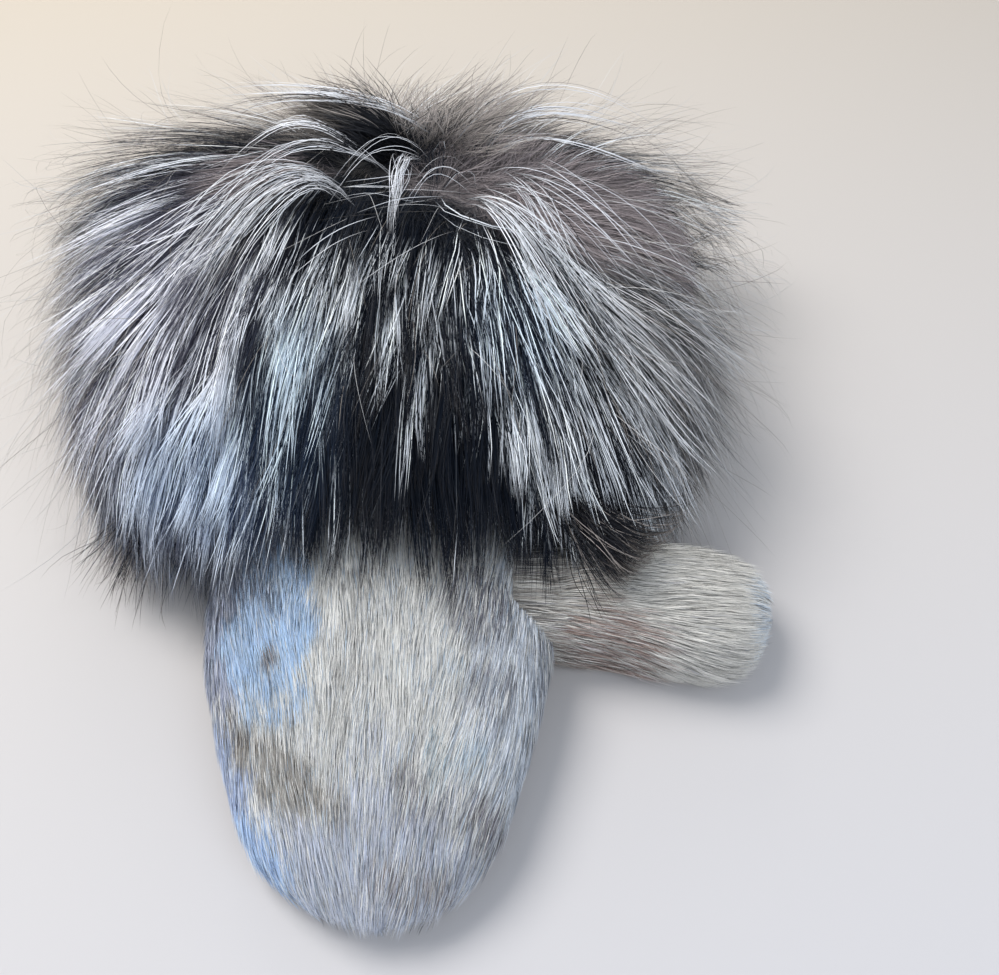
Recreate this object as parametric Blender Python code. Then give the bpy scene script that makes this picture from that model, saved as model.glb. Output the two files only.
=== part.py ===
# Fur mitten for the right hand, lying back side up on its palm.
# Metres, +Z up. The fingers point to -Y, the wrist opens to +Y and the thumb lies to +X.
# The origin is on the flat of the palm, on the surface that the mitten lies on.
import math
from collections import namedtuple

import bmesh
import bpy
import numpy as np
from mathutils import Vector

# Driving dimensions
WALL = 0.003             # skin and the fur lying flat on it
SEAM_GAP = 0.0003        # clearance along the side seam
FIT_SWELL = 0.0006       # how much larger than a limb its neighbours are cut
WRIST_Y = 0.066          # the seam between the hand and the cuff
RIM_Y = 0.172            # the free edge of the cuff's skin
THUMB_REACH_IN = 0.012   # how far the thumb's hollow runs on into the hand
MERGE = 0.00001          # points of a ring that meet at a tip

# The form of a section
SEAM_SHARE = 0.42        # height of the side seam as a share of the section's height
TOP_POWER = 0.84         # under 1 makes a section fuller than an ellipse
SOLE_POWER = 0.72
SOLE_PRESS = 0.006       # how far the underside is pressed flat

# A section across a limb: its place along the limb, its two sides, its underside and its top
Section = namedtuple("Section", "along low high under top")

# The hand from the wrist to the fingertips, along Y and across X
HAND = [
    Section(WRIST_Y, -0.0590, 0.0590, 0.0100, 0.0600),
    Section(0.0440, -0.0635, 0.0625, 0.0030, 0.0550),
    Section(0.0200, -0.0665, 0.0650, 0.0000, 0.0510),
    Section(-0.0080, -0.0655, 0.0655, 0.0000, 0.0480),
    Section(-0.0350, -0.0600, 0.0605, 0.0000, 0.0450),
    Section(-0.0600, -0.0520, 0.0535, 0.0000, 0.0410),
    Section(-0.0800, -0.0430, 0.0455, 0.0000, 0.0360),
    Section(-0.0935, -0.0310, 0.0355, 0.0010, 0.0300),
    Section(-0.1020, -0.0150, 0.0220, 0.0040, 0.0235),
    Section(-0.1050, 0.0040, 0.0040, 0.0110, 0.0110),
]

# The thumb from inside the hand to its tip, along X and across Y
THUMB = [
    Section(0.0500, -0.0080, 0.0370, 0.0060, 0.0450),
    Section(0.0680, -0.0090, 0.0365, 0.0010, 0.0440),
    Section(0.0860, -0.0110, 0.0360, 0.0000, 0.0430),
    Section(0.1050, -0.0145, 0.0350, 0.0000, 0.0415),
    Section(0.1240, -0.0165, 0.0330, 0.0000, 0.0385),
    Section(0.1390, -0.0120, 0.0290, 0.0015, 0.0335),
    Section(0.1475, -0.0020, 0.0210, 0.0060, 0.0265),
    Section(0.1500, 0.0090, 0.0090, 0.0150, 0.0150),
]

# The dense underfur of the cuff, from over the hand to behind the rim, along Y
UNDERFUR = [
    Section(0.0200, -0.0770, 0.0760, -0.0040, 0.0610),
    Section(0.0420, -0.0970, 0.0960, -0.0040, 0.0790),
    Section(0.0700, -0.1120, 0.1110, -0.0040, 0.0920),
    Section(0.1050, -0.1220, 0.1200, -0.0040, 0.1020),
    Section(0.1400, -0.1280, 0.1260, -0.0040, 0.1070),
    Section(0.1700, -0.1280, 0.1260, -0.0040, 0.1070),
    Section(0.1920, -0.1200, 0.1180, -0.0040, 0.0990),
    Section(0.2080, -0.1010, 0.0990, -0.0020, 0.0850),
]

# Where the tips of the guard hair end, from over the hand to behind the cuff
REACH = [
    Section(-0.0060, -0.0730, 0.0710, -0.0040, 0.0550),
    Section(0.0200, -0.0910, 0.0900, -0.0040, 0.0700),
    Section(0.0450, -0.1120, 0.1110, -0.0040, 0.0900),
    Section(0.0800, -0.1290, 0.1280, -0.0040, 0.1070),
    Section(0.1200, -0.1400, 0.1390, -0.0040, 0.1180),
    Section(0.1600, -0.1440, 0.1430, -0.0040, 0.1230),
    Section(0.1950, -0.1430, 0.1410, -0.0040, 0.1190),
    Section(0.2180, -0.1320, 0.1300, -0.0040, 0.1080),
    Section(0.2330, -0.1070, 0.1050, -0.0040, 0.0900),
]

# The hollow for the wrist, from inside the hand to behind the fur
WRIST_HOLLOW = [
    Section(0.0560, -0.0560, 0.0560, 0.0130, 0.0570),
    Section(0.0800, -0.0555, 0.0555, 0.0135, 0.0575),
    Section(0.1300, -0.0545, 0.0545, 0.0135, 0.0580),
    Section(RIM_Y, -0.0550, 0.0550, 0.0125, 0.0600),
    Section(0.1950, -0.0620, 0.0620, 0.0090, 0.0670),
    Section(0.2500, -0.0820, 0.0820, 0.0040, 0.0860),
]

# A row of locks round the cuff: its angles run from the right side over the top to the left one
Row = namedtuple("Row", "name root_y tip_y count start_deg end_deg width thick bow")
LOCK_ROWS = [
    Row("rim", 0.1960, 0.2320, 18, -22, 202, 0.0240, 0.0110, 0.0040),
    Row("crown", 0.1860, 0.2060, 17, -20, 200, 0.0250, 0.0110, 0.0060),
    Row("upper", 0.1740, 0.1220, 18, -24, 204, 0.0260, 0.0110, 0.0070),
    Row("high", 0.1480, 0.0920, 17, -22, 202, 0.0260, 0.0110, 0.0060),
    Row("middle", 0.1220, 0.0640, 18, -24, 204, 0.0250, 0.0105, 0.0060),
    Row("lower", 0.0940, 0.0340, 16, -20, 200, 0.0240, 0.0100, 0.0060),
    Row("hem", 0.0640, 0.0020, 15, 2, 178, 0.0210, 0.0090, 0.0050),
]
LOCK_SEED = 7
LOCK_RINGS = 5           # cross-sections of a lock before its point
LOCK_ROOT_DEPTH = 0.006  # how deep a lock's root sits in the underfur
LOCK_SWAY_DEG = 4        # how far a lock's tip may swing to a side
WHORL_DEG = 80           # the place round the cuff that the fur parts from
FAN_SHARE = 0.08         # how much further round a lock's tip lies than its root

# Shallow dents in the top of the hand: where, how far they reach and how deep they are
Dent = namedtuple("Dent", "x y reach_x reach_y depth")
DENTS = [
    Dent(-0.0300, -0.0100, 0.0140, 0.0420, 0.0022),
    Dent(0.0260, -0.0420, 0.0160, 0.0300, 0.0018),
    Dent(0.0020, 0.0160, 0.0300, 0.0110, 0.0020),
    Dent(0.0600, 0.0060, 0.0110, 0.0200, 0.0040),
    Dent(0.1000, 0.0040, 0.0140, 0.0090, 0.0016),
]

# The block under the floor that the cuff is cut off with
FLOOR_SPAN = 0.6
FLOOR_DEPTH = 0.1

# Colour and roughness of each piece's material
Look = namedtuple("Look", "name colour roughness")
LOOKS = {
    "hand_back": Look("short_fur", (0.56, 0.57, 0.58), 0.75),
    "hand_palm": Look("palm_fur", (0.50, 0.50, 0.51), 0.75),
    "thumb": Look("thumb_fur", (0.66, 0.65, 0.61), 0.75),
    "cuff_fur": Look("fox_fur", (0.20, 0.21, 0.24), 0.70),
}


def smooth_sections(rows, steps):
    """Catmull-Rom curve through the rows, as steps + 1 sections."""
    table = np.array(rows, float)
    before = 2 * table[0] - table[1]
    after = 2 * table[-1] - table[-2]
    padded = np.vstack([before, table, after])
    found = []
    for place in np.linspace(0, len(rows) - 1, steps + 1):
        i = min(int(place), len(rows) - 2)
        t = place - i
        a, b, c, d = padded[i : i + 4]
        curve = 0.5 * (2 * b + (c - a) * t + (2 * a - 5 * b + 4 * c - d) * t**2
                       + (3 * b - a - 3 * c + d) * t**3)
        found.append(Section(*np.clip(curve, table.min(axis=0), table.max(axis=0))))
    return found


def section_at(rows, along):
    """The section at a place along a limb, read straight between the rows."""
    table = np.array(rows, float)
    order = np.argsort(table[:, 0])
    table = table[order]
    return Section(along, *[np.interp(along, table[:, 0], table[:, k]) for k in range(1, 5)])


def signed_power(value, power):
    return math.copysign(abs(value) ** power, value)


def seam_height(section):
    return section.under + SEAM_SHARE * (section.top - section.under)


def dent_depth(x, y):
    """How far the top is pressed in at a place, a sum of bell curves."""
    depth = 0
    for dent in DENTS:
        away = ((x - dent.x) / dent.reach_x) ** 2 + ((y - dent.y) / dent.reach_y) ** 2
        depth += dent.depth * math.exp(-away)
    return depth


def section_point(section, angle):
    """(across, up) on a section. 0 is the high side, 90 degrees the top, 180 the low side."""
    middle = (section.low + section.high) / 2
    half = (section.high - section.low) / 2
    seam = seam_height(section)
    across, up = math.cos(angle), math.sin(angle)
    if up >= 0:
        rise = (section.top - seam) * up**TOP_POWER
        return middle + half * signed_power(across, TOP_POWER), seam + rise
    press = min(SOLE_PRESS, (seam - section.under) / 2)
    drop = (seam - section.under + press) * abs(up) ** SOLE_POWER
    return middle + half * signed_power(across, TOP_POWER), max(section.under, seam - drop)


def along_y(along, across, up):
    return across, along, up


def along_x(along, across, up):
    return along, across, up


# A limb: its rows, the way it runs, how many sections and sides it has, and its largest sizes
Limb = namedtuple("Limb", "rows place steps sides half_width half_height length")
HAND_LIMB = Limb(HAND, along_y, 15, 32, 0.0655, 0.024, 0.171)
THUMB_LIMB = Limb(THUMB, along_x, 10, 20, 0.0255, 0.021, 0.100)
CUFF_STEPS = 9
CUFF_SIDES = 30


def swollen(limb, swell):
    """A limb's sections, moved out by swell where it is widest, and in proportion elsewhere."""
    across = 1 + swell / limb.half_width
    up = 1 + swell / limb.half_height
    along = 1 + swell / limb.length
    start = limb.rows[0].along
    found = []
    for section in smooth_sections(limb.rows, limb.steps):
        middle = (section.low + section.high) / 2
        seam = seam_height(section)
        found.append(Section(
            start + (section.along - start) * along,
            middle + (section.low - middle) * across,
            middle + (section.high - middle) * across,
            seam + (section.under - seam) * up,
            seam + (section.top - seam) * up,
        ))
    return found


def skin_point(section, angle, place):
    """A point of a limb's surface in space, with the dents pressed into the top."""
    x, y, z = place(section.along, *section_point(section, angle))
    seam = seam_height(section)
    if z > seam:
        z -= (z - seam) / (section.top - seam) * dent_depth(x, y)
    return x, y, z


def above_seam(z, seam):
    return max(z, seam + SEAM_GAP / 2)


def below_seam(z, seam):
    return min(z, seam - SEAM_GAP / 2)


def half_ring(section, start, end, clear):
    """The upper or lower half of a section of the hand, held half a seam gap from the seam."""
    seam = seam_height(section)
    points = []
    for angle in np.linspace(start, end, HAND_LIMB.sides // 2 + 1):
        x, y, z = skin_point(section, angle, along_y)
        points.append((x, y, clear(z, seam)))
    return points


def full_turn(sides):
    return np.linspace(0, 2 * math.pi, sides, endpoint=False)


def limb_rings(limb, sections):
    return [
        [skin_point(section, angle, limb.place) for angle in full_turn(limb.sides)]
        for section in sections
    ]


def cuff_rings(rows):
    """Rings round the cuff, which has no dents."""
    return [
        [along_y(section.along, *section_point(section, angle)) for angle in full_turn(CUFF_SIDES)]
        for section in smooth_sections(rows, CUFF_STEPS)
    ]


def loft(name, rings, collection):
    """One closed mesh through rings of equal length, with a flat cap at each end."""
    body = bmesh.new()
    grid = [[body.verts.new(p) for p in ring] for ring in rings]
    for near, far in zip(grid, grid[1:]):
        for i, point in enumerate(near):
            j = (i + 1) % len(near)
            body.faces.new((point, near[j], far[j], far[i]))
    body.faces.new(grid[0])
    body.faces.new(grid[-1])
    bmesh.ops.remove_doubles(body, verts=body.verts, dist=MERGE)
    bmesh.ops.recalc_face_normals(body, faces=body.faces)
    return new_object(name, body, collection)


def new_object(name, body, collection):
    mesh = bpy.data.meshes.new(name)
    body.to_mesh(mesh)
    body.free()
    made = bpy.data.objects.new(name, mesh)
    collection.objects.link(made)
    return made


def panel(name, start, end, clear, collection):
    """Half of the hand's shell: each ring runs out along the outer skin and back inside it."""
    rings = []
    for outer, inner in zip(swollen(HAND_LIMB, 0), swollen(HAND_LIMB, -WALL)):
        near = half_ring(outer, start, end, clear)
        far = half_ring(inner, end, start, clear)
        rings.append(near + far)
    return loft(name, rings, collection)


def boolean(target, other, operation):
    """Joins or cuts with one object, or with every object of a collection."""
    change = target.modifiers.new(operation.lower(), "BOOLEAN")
    change.operation = operation
    change.solver = "EXACT"
    if isinstance(other, bpy.types.Collection):
        change.operand_type = "COLLECTION"
        change.collection = other
    else:
        change.object = other


def helper(made):
    """Marks an object as one that only cuts or joins."""
    made.hide_render = True
    made.display_type = "WIRE"
    return made


def coat(piece):
    """Gives a piece its material, and rounds its shading."""
    look = LOOKS[piece.name]
    made = bpy.data.materials.new(look.name)
    made.use_nodes = True
    shader = made.node_tree.nodes["Principled BSDF"]
    shader.inputs["Base Color"].default_value = (*look.colour, 1)
    shader.inputs["Roughness"].default_value = look.roughness
    shader.inputs["Metallic"].default_value = 0
    piece.data.materials.append(made)
    piece.data.shade_smooth()


def lock_path(row, angle, sway):
    """A bowed path from inside the underfur to the guard hair's reach, with its outward way."""
    fan = FAN_SHARE * (angle - math.radians(WHORL_DEG))
    root_across, root_up = section_point(section_at(UNDERFUR, row.root_y), angle)
    tip_across, tip_up = section_point(section_at(REACH, row.tip_y), angle + fan + sway)
    root = Vector((root_across, row.root_y, root_up))
    tip = Vector((tip_across, row.tip_y, tip_up))
    core = Vector((0, row.root_y, WRIST_HOLLOW[1].top / 2))
    outward = (root - core).normalized()
    start = root - outward * LOCK_ROOT_DEPTH
    bend = (start + tip) / 2 + outward * row.bow
    return start, bend, tip, outward


def lock_rings(row, angle, sway):
    """Flat diamonds along the path, wide below the middle and coming to a point."""
    start, bend, tip, outward = lock_path(row, angle, sway)
    rings = []
    for t in np.linspace(0, 1, LOCK_RINGS + 1):
        place = start * (1 - t) ** 2 + bend * 2 * t * (1 - t) + tip * t**2
        way = ((bend - start) * (1 - t) + (tip - bend) * t).normalized()
        side = way.cross(outward).normalized()
        lift = side.cross(way).normalized()
        share = math.sqrt(1 - t) * (0.75 + 0.6 * t)
        half, thick = row.width * share / 2, row.thick * share / 2
        rings.append([place + side * half, place + lift * thick,
                      place - side * half, place - lift * thick])
    return rings


def make_locks(collection):
    """The rows of locks, each row turned by half a step against the one before."""
    spread = np.random.default_rng(LOCK_SEED)
    for number, row in enumerate(LOCK_ROWS):
        turns = np.linspace(row.start_deg, row.end_deg, row.count)
        step = turns[1] - turns[0]
        turns = turns + (step / 4 if number % 2 else -step / 4)
        for i, turn in enumerate(turns):
            sway = math.radians(spread.uniform(-LOCK_SWAY_DEG, LOCK_SWAY_DEG))
            rings = lock_rings(row, math.radians(turn), sway)
            helper(loft(f"lock_{row.name}_{i}", rings, collection))


def limb_core(name, limb, collection):
    """The filled outer shape of a limb, slightly swollen, which its neighbours are cut to."""
    return helper(loft(name, limb_rings(limb, swollen(limb, FIT_SWELL)), collection))


def make_thumb_hollow(collection):
    """The room inside the thumb, running on through the side of the hand."""
    inside = swollen(THUMB_LIMB, -WALL)
    run_on = inside[0]._replace(along=inside[0].along - THUMB_REACH_IN)
    return helper(loft("thumb_hollow", limb_rings(THUMB_LIMB, [run_on] + inside), collection))


def make_floor(collection):
    bpy.ops.mesh.primitive_cube_add(
        size=1,
        location=(0, WRIST_Y, -FLOOR_DEPTH / 2),
        scale=(FLOOR_SPAN, FLOOR_SPAN, FLOOR_DEPTH),
    )
    floor = bpy.context.object
    floor.name = "floor_cut"
    for holder in list(floor.users_collection):
        holder.objects.unlink(floor)
    collection.objects.link(floor)
    return helper(floor)


def make_hand(parts, thumb_hollow):
    """The back and the palm, sewn together round the edge, with a hole for the thumb."""
    back = panel("hand_back", 0, math.pi, above_seam, parts)
    palm = panel("hand_palm", 2 * math.pi, math.pi, below_seam, parts)
    for half in (back, palm):
        boolean(half, thumb_hollow, "DIFFERENCE")
    return back, palm


def make_thumb(parts, thumb_hollow, hand_core):
    """A sheath that is open towards the hand and trimmed to the hand's side."""
    thumb = loft("thumb", limb_rings(THUMB_LIMB, swollen(THUMB_LIMB, 0)), parts)
    boolean(thumb, hand_core, "DIFFERENCE")
    boolean(thumb, thumb_hollow, "DIFFERENCE")
    return thumb


def make_cuff(parts, cutters, locks, cores):
    """Underfur with locks fused to it, hollow for the wrist and pressed flat underneath."""
    cuff = loft("cuff_fur", cuff_rings(UNDERFUR), parts)
    boolean(cuff, locks, "UNION")
    boolean(cuff, helper(loft("wrist_hollow", cuff_rings(WRIST_HOLLOW), cutters)), "DIFFERENCE")
    for core in cores:
        boolean(cuff, core, "DIFFERENCE")
    boolean(cuff, make_floor(cutters), "DIFFERENCE")
    return cuff


def new_collection(name):
    made = bpy.data.collections.new(name)
    bpy.context.scene.collection.children.link(made)
    return made


def main():
    for old in list(bpy.data.objects):
        bpy.data.objects.remove(old)
    parts = new_collection("fur_mitten")
    cutters = new_collection("cutters")
    locks = new_collection("locks")
    make_locks(locks)
    hand_core = limb_core("hand_core", HAND_LIMB, cutters)
    thumb_core = limb_core("thumb_core", THUMB_LIMB, cutters)
    thumb_hollow = make_thumb_hollow(cutters)
    back, palm = make_hand(parts, thumb_hollow)
    thumb = make_thumb(parts, thumb_hollow, hand_core)
    cuff = make_cuff(parts, cutters, locks, [hand_core, thumb_core])
    for piece in (back, palm, thumb, cuff):
        coat(piece)


main()
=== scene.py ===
# Fur mitten for the right hand: short fur on the hand and thumb, long silver fur on the cuff.
# Metres, +Z up. The fingers point to -Y, the wrist opens to +Y and the thumb lies to +X.
import math

import bmesh
import bpy
import numpy as np
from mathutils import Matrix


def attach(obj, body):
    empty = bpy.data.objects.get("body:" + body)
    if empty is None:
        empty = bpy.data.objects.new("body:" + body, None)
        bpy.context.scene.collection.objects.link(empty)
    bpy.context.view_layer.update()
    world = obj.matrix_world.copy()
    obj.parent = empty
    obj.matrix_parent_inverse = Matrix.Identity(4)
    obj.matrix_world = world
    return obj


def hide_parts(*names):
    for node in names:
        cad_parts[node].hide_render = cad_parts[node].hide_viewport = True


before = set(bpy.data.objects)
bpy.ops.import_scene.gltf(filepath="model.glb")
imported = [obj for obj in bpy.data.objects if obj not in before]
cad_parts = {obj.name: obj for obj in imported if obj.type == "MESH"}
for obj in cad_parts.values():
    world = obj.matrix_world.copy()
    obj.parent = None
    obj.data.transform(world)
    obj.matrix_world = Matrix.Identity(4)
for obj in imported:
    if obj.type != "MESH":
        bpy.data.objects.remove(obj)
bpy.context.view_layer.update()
print("frame loaded:", sorted(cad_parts))

# Forms of the solids, repeated so that the fur lies on them.
# A row is the place along the form, its low side, high side, underside and top.
handRows = [
    (0.0660, -0.0590, 0.0590, 0.0100, 0.0600),
    (0.0440, -0.0635, 0.0625, 0.0030, 0.0550),
    (0.0200, -0.0665, 0.0650, 0.0000, 0.0510),
    (-0.0080, -0.0655, 0.0655, 0.0000, 0.0480),
    (-0.0350, -0.0600, 0.0605, 0.0000, 0.0450),
    (-0.0600, -0.0520, 0.0535, 0.0000, 0.0410),
    (-0.0800, -0.0430, 0.0455, 0.0000, 0.0360),
    (-0.0935, -0.0310, 0.0355, 0.0010, 0.0300),
    (-0.1020, -0.0150, 0.0220, 0.0040, 0.0235),
    (-0.1050, 0.0040, 0.0040, 0.0110, 0.0110),
]
thumbRows = [
    (0.0500, -0.0080, 0.0370, 0.0060, 0.0450),
    (0.0680, -0.0090, 0.0365, 0.0010, 0.0440),
    (0.0860, -0.0110, 0.0360, 0.0000, 0.0430),
    (0.1050, -0.0145, 0.0350, 0.0000, 0.0415),
    (0.1240, -0.0165, 0.0330, 0.0000, 0.0385),
    (0.1390, -0.0120, 0.0290, 0.0015, 0.0335),
    (0.1475, -0.0020, 0.0210, 0.0060, 0.0265),
    (0.1500, 0.0090, 0.0090, 0.0150, 0.0150),
]
# Where the skin of the cuff's fur lies, on from the hand, and where the longest hair reaches
baseRows = [
    (-0.0400, -0.0610, 0.0615, 0.0010, 0.0465),
    (-0.0060, -0.0675, 0.0670, 0.0010, 0.0500),
    (0.0200, -0.0720, 0.0705, 0.0010, 0.0560),
    (0.0420, -0.0880, 0.0870, 0.0010, 0.0710),
    (0.0700, -0.1050, 0.1040, 0.0010, 0.0860),
    (0.1050, -0.1150, 0.1130, 0.0010, 0.0960),
    (0.1400, -0.1210, 0.1190, 0.0010, 0.1010),
    (0.1700, -0.1210, 0.1190, 0.0010, 0.1010),
    (0.1920, -0.1130, 0.1110, 0.0020, 0.0930),
    (0.2080, -0.0960, 0.0940, 0.0040, 0.0800),
    (0.2300, -0.0760, 0.0740, 0.0080, 0.0660),
]
reachRows = [
    (-0.0400, -0.0650, 0.0655, 0.0010, 0.0500),
    (-0.0060, -0.0770, 0.0750, 0.0010, 0.0570),
    (0.0200, -0.0930, 0.0920, 0.0010, 0.0710),
    (0.0450, -0.1130, 0.1120, 0.0010, 0.0900),
    (0.0800, -0.1310, 0.1300, 0.0010, 0.1070),
    (0.1200, -0.1420, 0.1410, 0.0010, 0.1180),
    (0.1600, -0.1460, 0.1450, 0.0010, 0.1230),
    (0.1950, -0.1450, 0.1430, 0.0010, 0.1210),
    (0.2180, -0.1340, 0.1320, 0.0010, 0.1110),
    (0.2400, -0.1100, 0.1080, 0.0040, 0.0930),
]
hollowRows = [
    (0.0500, -0.0560, 0.0560, 0.0130, 0.0570),
    (0.0800, -0.0555, 0.0555, 0.0135, 0.0575),
    (0.1300, -0.0545, 0.0545, 0.0135, 0.0580),
    (0.1720, -0.0550, 0.0550, 0.0125, 0.0600),
    (0.1950, -0.0620, 0.0620, 0.0090, 0.0670),
    (0.2120, -0.0700, 0.0700, 0.0070, 0.0730),
]
sectionShape = {"seamShare": 0.42, "topPower": 0.84, "solePower": 0.72, "solePress": 0.006}
# Shallow dents in the top of the hand: x, y, how far they reach in x and y, and how deep they are
dents = [
    (-0.030, -0.010, 0.014, 0.042, 0.0022),
    (0.026, -0.042, 0.016, 0.030, 0.0018),
    (0.002, 0.016, 0.030, 0.011, 0.0020),
    (0.060, 0.006, 0.011, 0.020, 0.0040),
    (0.100, 0.004, 0.014, 0.009, 0.0016),
]
# The line that the cuff's fur parts from, on top of the cuff
partingStart = np.array((-0.012, 0.170, 0.101))
partingEnd = np.array((0.034, 0.148, 0.101))
floorClear = 0.0006                      # no hair lies lower than this


def smoothRows(rows, steps=400):
    # A cubic through each four rows in turn, held inside the rows' own range
    table = np.array(rows, float)
    padded = np.vstack([2 * table[0] - table[1], table, 2 * table[-1] - table[-2]])
    place = np.linspace(0, len(rows) - 1, steps + 1)
    i = np.minimum(place.astype(int), len(rows) - 2)
    t = (place - i)[:, None]
    a, b, c, d = (padded[i + k] for k in range(4))
    curve = 0.5 * (2 * b + (c - a) * t + (2 * a - 5 * b + 4 * c - d) * t**2
                   + (3 * b - a - 3 * c + d) * t**3)
    curve = np.clip(curve, table.min(axis=0), table.max(axis=0))
    return curve[np.argsort(curve[:, 0])]


def makeForm(rows, axis):
    table = np.array(rows, float)
    return {
        "table": smoothRows(rows),
        "axis": axis,
        "start": table[0, 0],
        "length": np.ptp(table[:, 0]),
        "halfWidth": np.max(table[:, 2] - table[:, 1]) / 2,
        "halfHeight": np.max(table[:, 4] - table[:, 3]) / 2,
    }


handForm = makeForm(handRows, "y")
thumbForm = makeForm(thumbRows, "x")
baseForm = makeForm(baseRows, "y")
reachForm = makeForm(reachRows, "y")
hollowForm = makeForm(hollowRows, "y")


def formPoint(form, place, angle, swell=0.0, dented=False):
    # A section is a full oval: across goes with cos to the power 0.84 and up with sin to the same
    # power, and below the seam it is pressed flat. Swell scales it about its start and its seam.
    table = form["table"]
    low, high, under, top = (np.interp(place, table[:, 0], table[:, k]) for k in range(1, 5))
    seam = under + sectionShape["seamShare"] * (top - under)
    middle, half = (low + high) / 2, (high - low) / 2 * (1 + swell / form["halfWidth"])
    tall = 1 + swell / form["halfHeight"]
    along = form["start"] + (place - form["start"]) * (1 + swell / form["length"])
    across, up = np.cos(angle), np.sin(angle)
    side = middle + half * np.sign(across) * np.abs(across) ** sectionShape["topPower"]
    rise = (top - seam) * tall * np.abs(up) ** sectionShape["topPower"]
    press = np.minimum(sectionShape["solePress"], (seam - under) / 2)
    drop = ((seam - under) * tall + press) * np.abs(up) ** sectionShape["solePower"]
    height = np.where(up >= 0, seam + rise, np.maximum(seam - (seam - under) * tall, seam - drop))
    along = along + 0 * side
    point = np.stack((side, along, height) if form["axis"] == "y" else (along, side, height), -1)
    if dented:
        depth = sum(d * np.exp(-((point[..., 0] - x) / rx) ** 2 - ((point[..., 1] - y) / ry) ** 2)
                    for x, y, rx, ry, d in dents)
        share = np.clip((height - seam) / np.maximum(top - seam, 1e-6), 0, 1)
        point[..., 2] -= share * depth
    return point


def unit(v):
    return v / np.maximum(np.linalg.norm(v, axis=-1, keepdims=True), 1e-12)


def smoothStep(low, high, value):
    t = np.clip((value - low) / (high - low), 0, 1)
    return t * t * (3 - 2 * t)


def softNoise(point, size, seed):
    # Smooth noise from 0 to 1: random values on a lattice of that size, eased between its corners
    lattice = np.random.default_rng(seed).random((32, 32, 32))
    cell = point / size + 100.5
    i = np.floor(cell).astype(int)
    t = cell - i
    t = t * t * (3 - 2 * t)
    total = 0
    for corner in np.ndindex(2, 2, 2):
        at = (i + corner) % 32
        weight = np.prod(np.where(corner, t, 1 - t), axis=-1)
        total = total + weight * lattice[at[..., 0], at[..., 1], at[..., 2]]
    return total


def gridNormals(grid, wrap):
    # Cross product of the steps along the two directions of a grid
    along = np.gradient(grid, axis=0)
    if wrap:
        around = (np.roll(grid, -1, 1) - np.roll(grid, 1, 1)) / 2
    else:
        around = np.gradient(grid, axis=1)
    return unit(np.cross(along, around))


def rewriteMesh(name, points, faces, merge=0.0):
    # Joined mesh from points and faces. Points that meet at a pole become one, and the faces point out.
    mesh = bpy.data.meshes.new(name)
    mesh.from_pydata(points, [], faces)
    body = bmesh.new()
    body.from_mesh(mesh)
    if merge:
        bmesh.ops.remove_doubles(body, verts=body.verts, dist=merge)
        loose = [e for e in body.edges if not e.link_faces]
        bmesh.ops.delete(body, geom=loose, context="EDGES")
    if body.calc_volume(signed=True) < 0:
        bmesh.ops.reverse_faces(body, faces=body.faces)
    body.to_mesh(mesh)
    body.free()
    mesh.shade_smooth()
    made = bpy.data.objects.new(name, mesh)
    bpy.context.scene.collection.objects.link(made)
    return made


def tubeFaces(rows, columns, closeRows=False):
    # Quads of a grid that is closed round its columns, and along its rows if asked
    last = rows if closeRows else rows - 1
    i, j = (k.ravel() for k in np.meshgrid(np.arange(last), np.arange(columns), indexing="ij"))
    right, below = (j + 1) % columns, (i + 1) % rows
    return np.stack((i * columns + j, i * columns + right,
                     below * columns + right, below * columns + j), -1)


def bakeMap(piece, cells):
    # UV map for the colour bake: one corner of a cell for each corner of a face
    layer = piece.data.uv_layers.new(name="OFBake")
    layer.data.foreach_set("uv", cells.astype(np.float32).ravel())


def setTint(piece, colour):
    layer = piece.data.color_attributes.new("tint", "FLOAT_COLOR", "POINT")
    full = np.concatenate((colour, np.ones((len(colour), 1))), axis=1)
    layer.data.foreach_set("color", full.astype(np.float32).ravel())


def setValue(piece, name, value):
    layer = piece.data.attributes.new(name, "FLOAT", "POINT")
    layer.data.foreach_set("value", value.astype(np.float32).ravel())


def vertexPoints(piece):
    co = np.zeros(len(piece.data.vertices) * 3, np.float32)
    piece.data.vertices.foreach_get("co", co)
    return co.reshape(-1, 3).astype(float)


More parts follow.
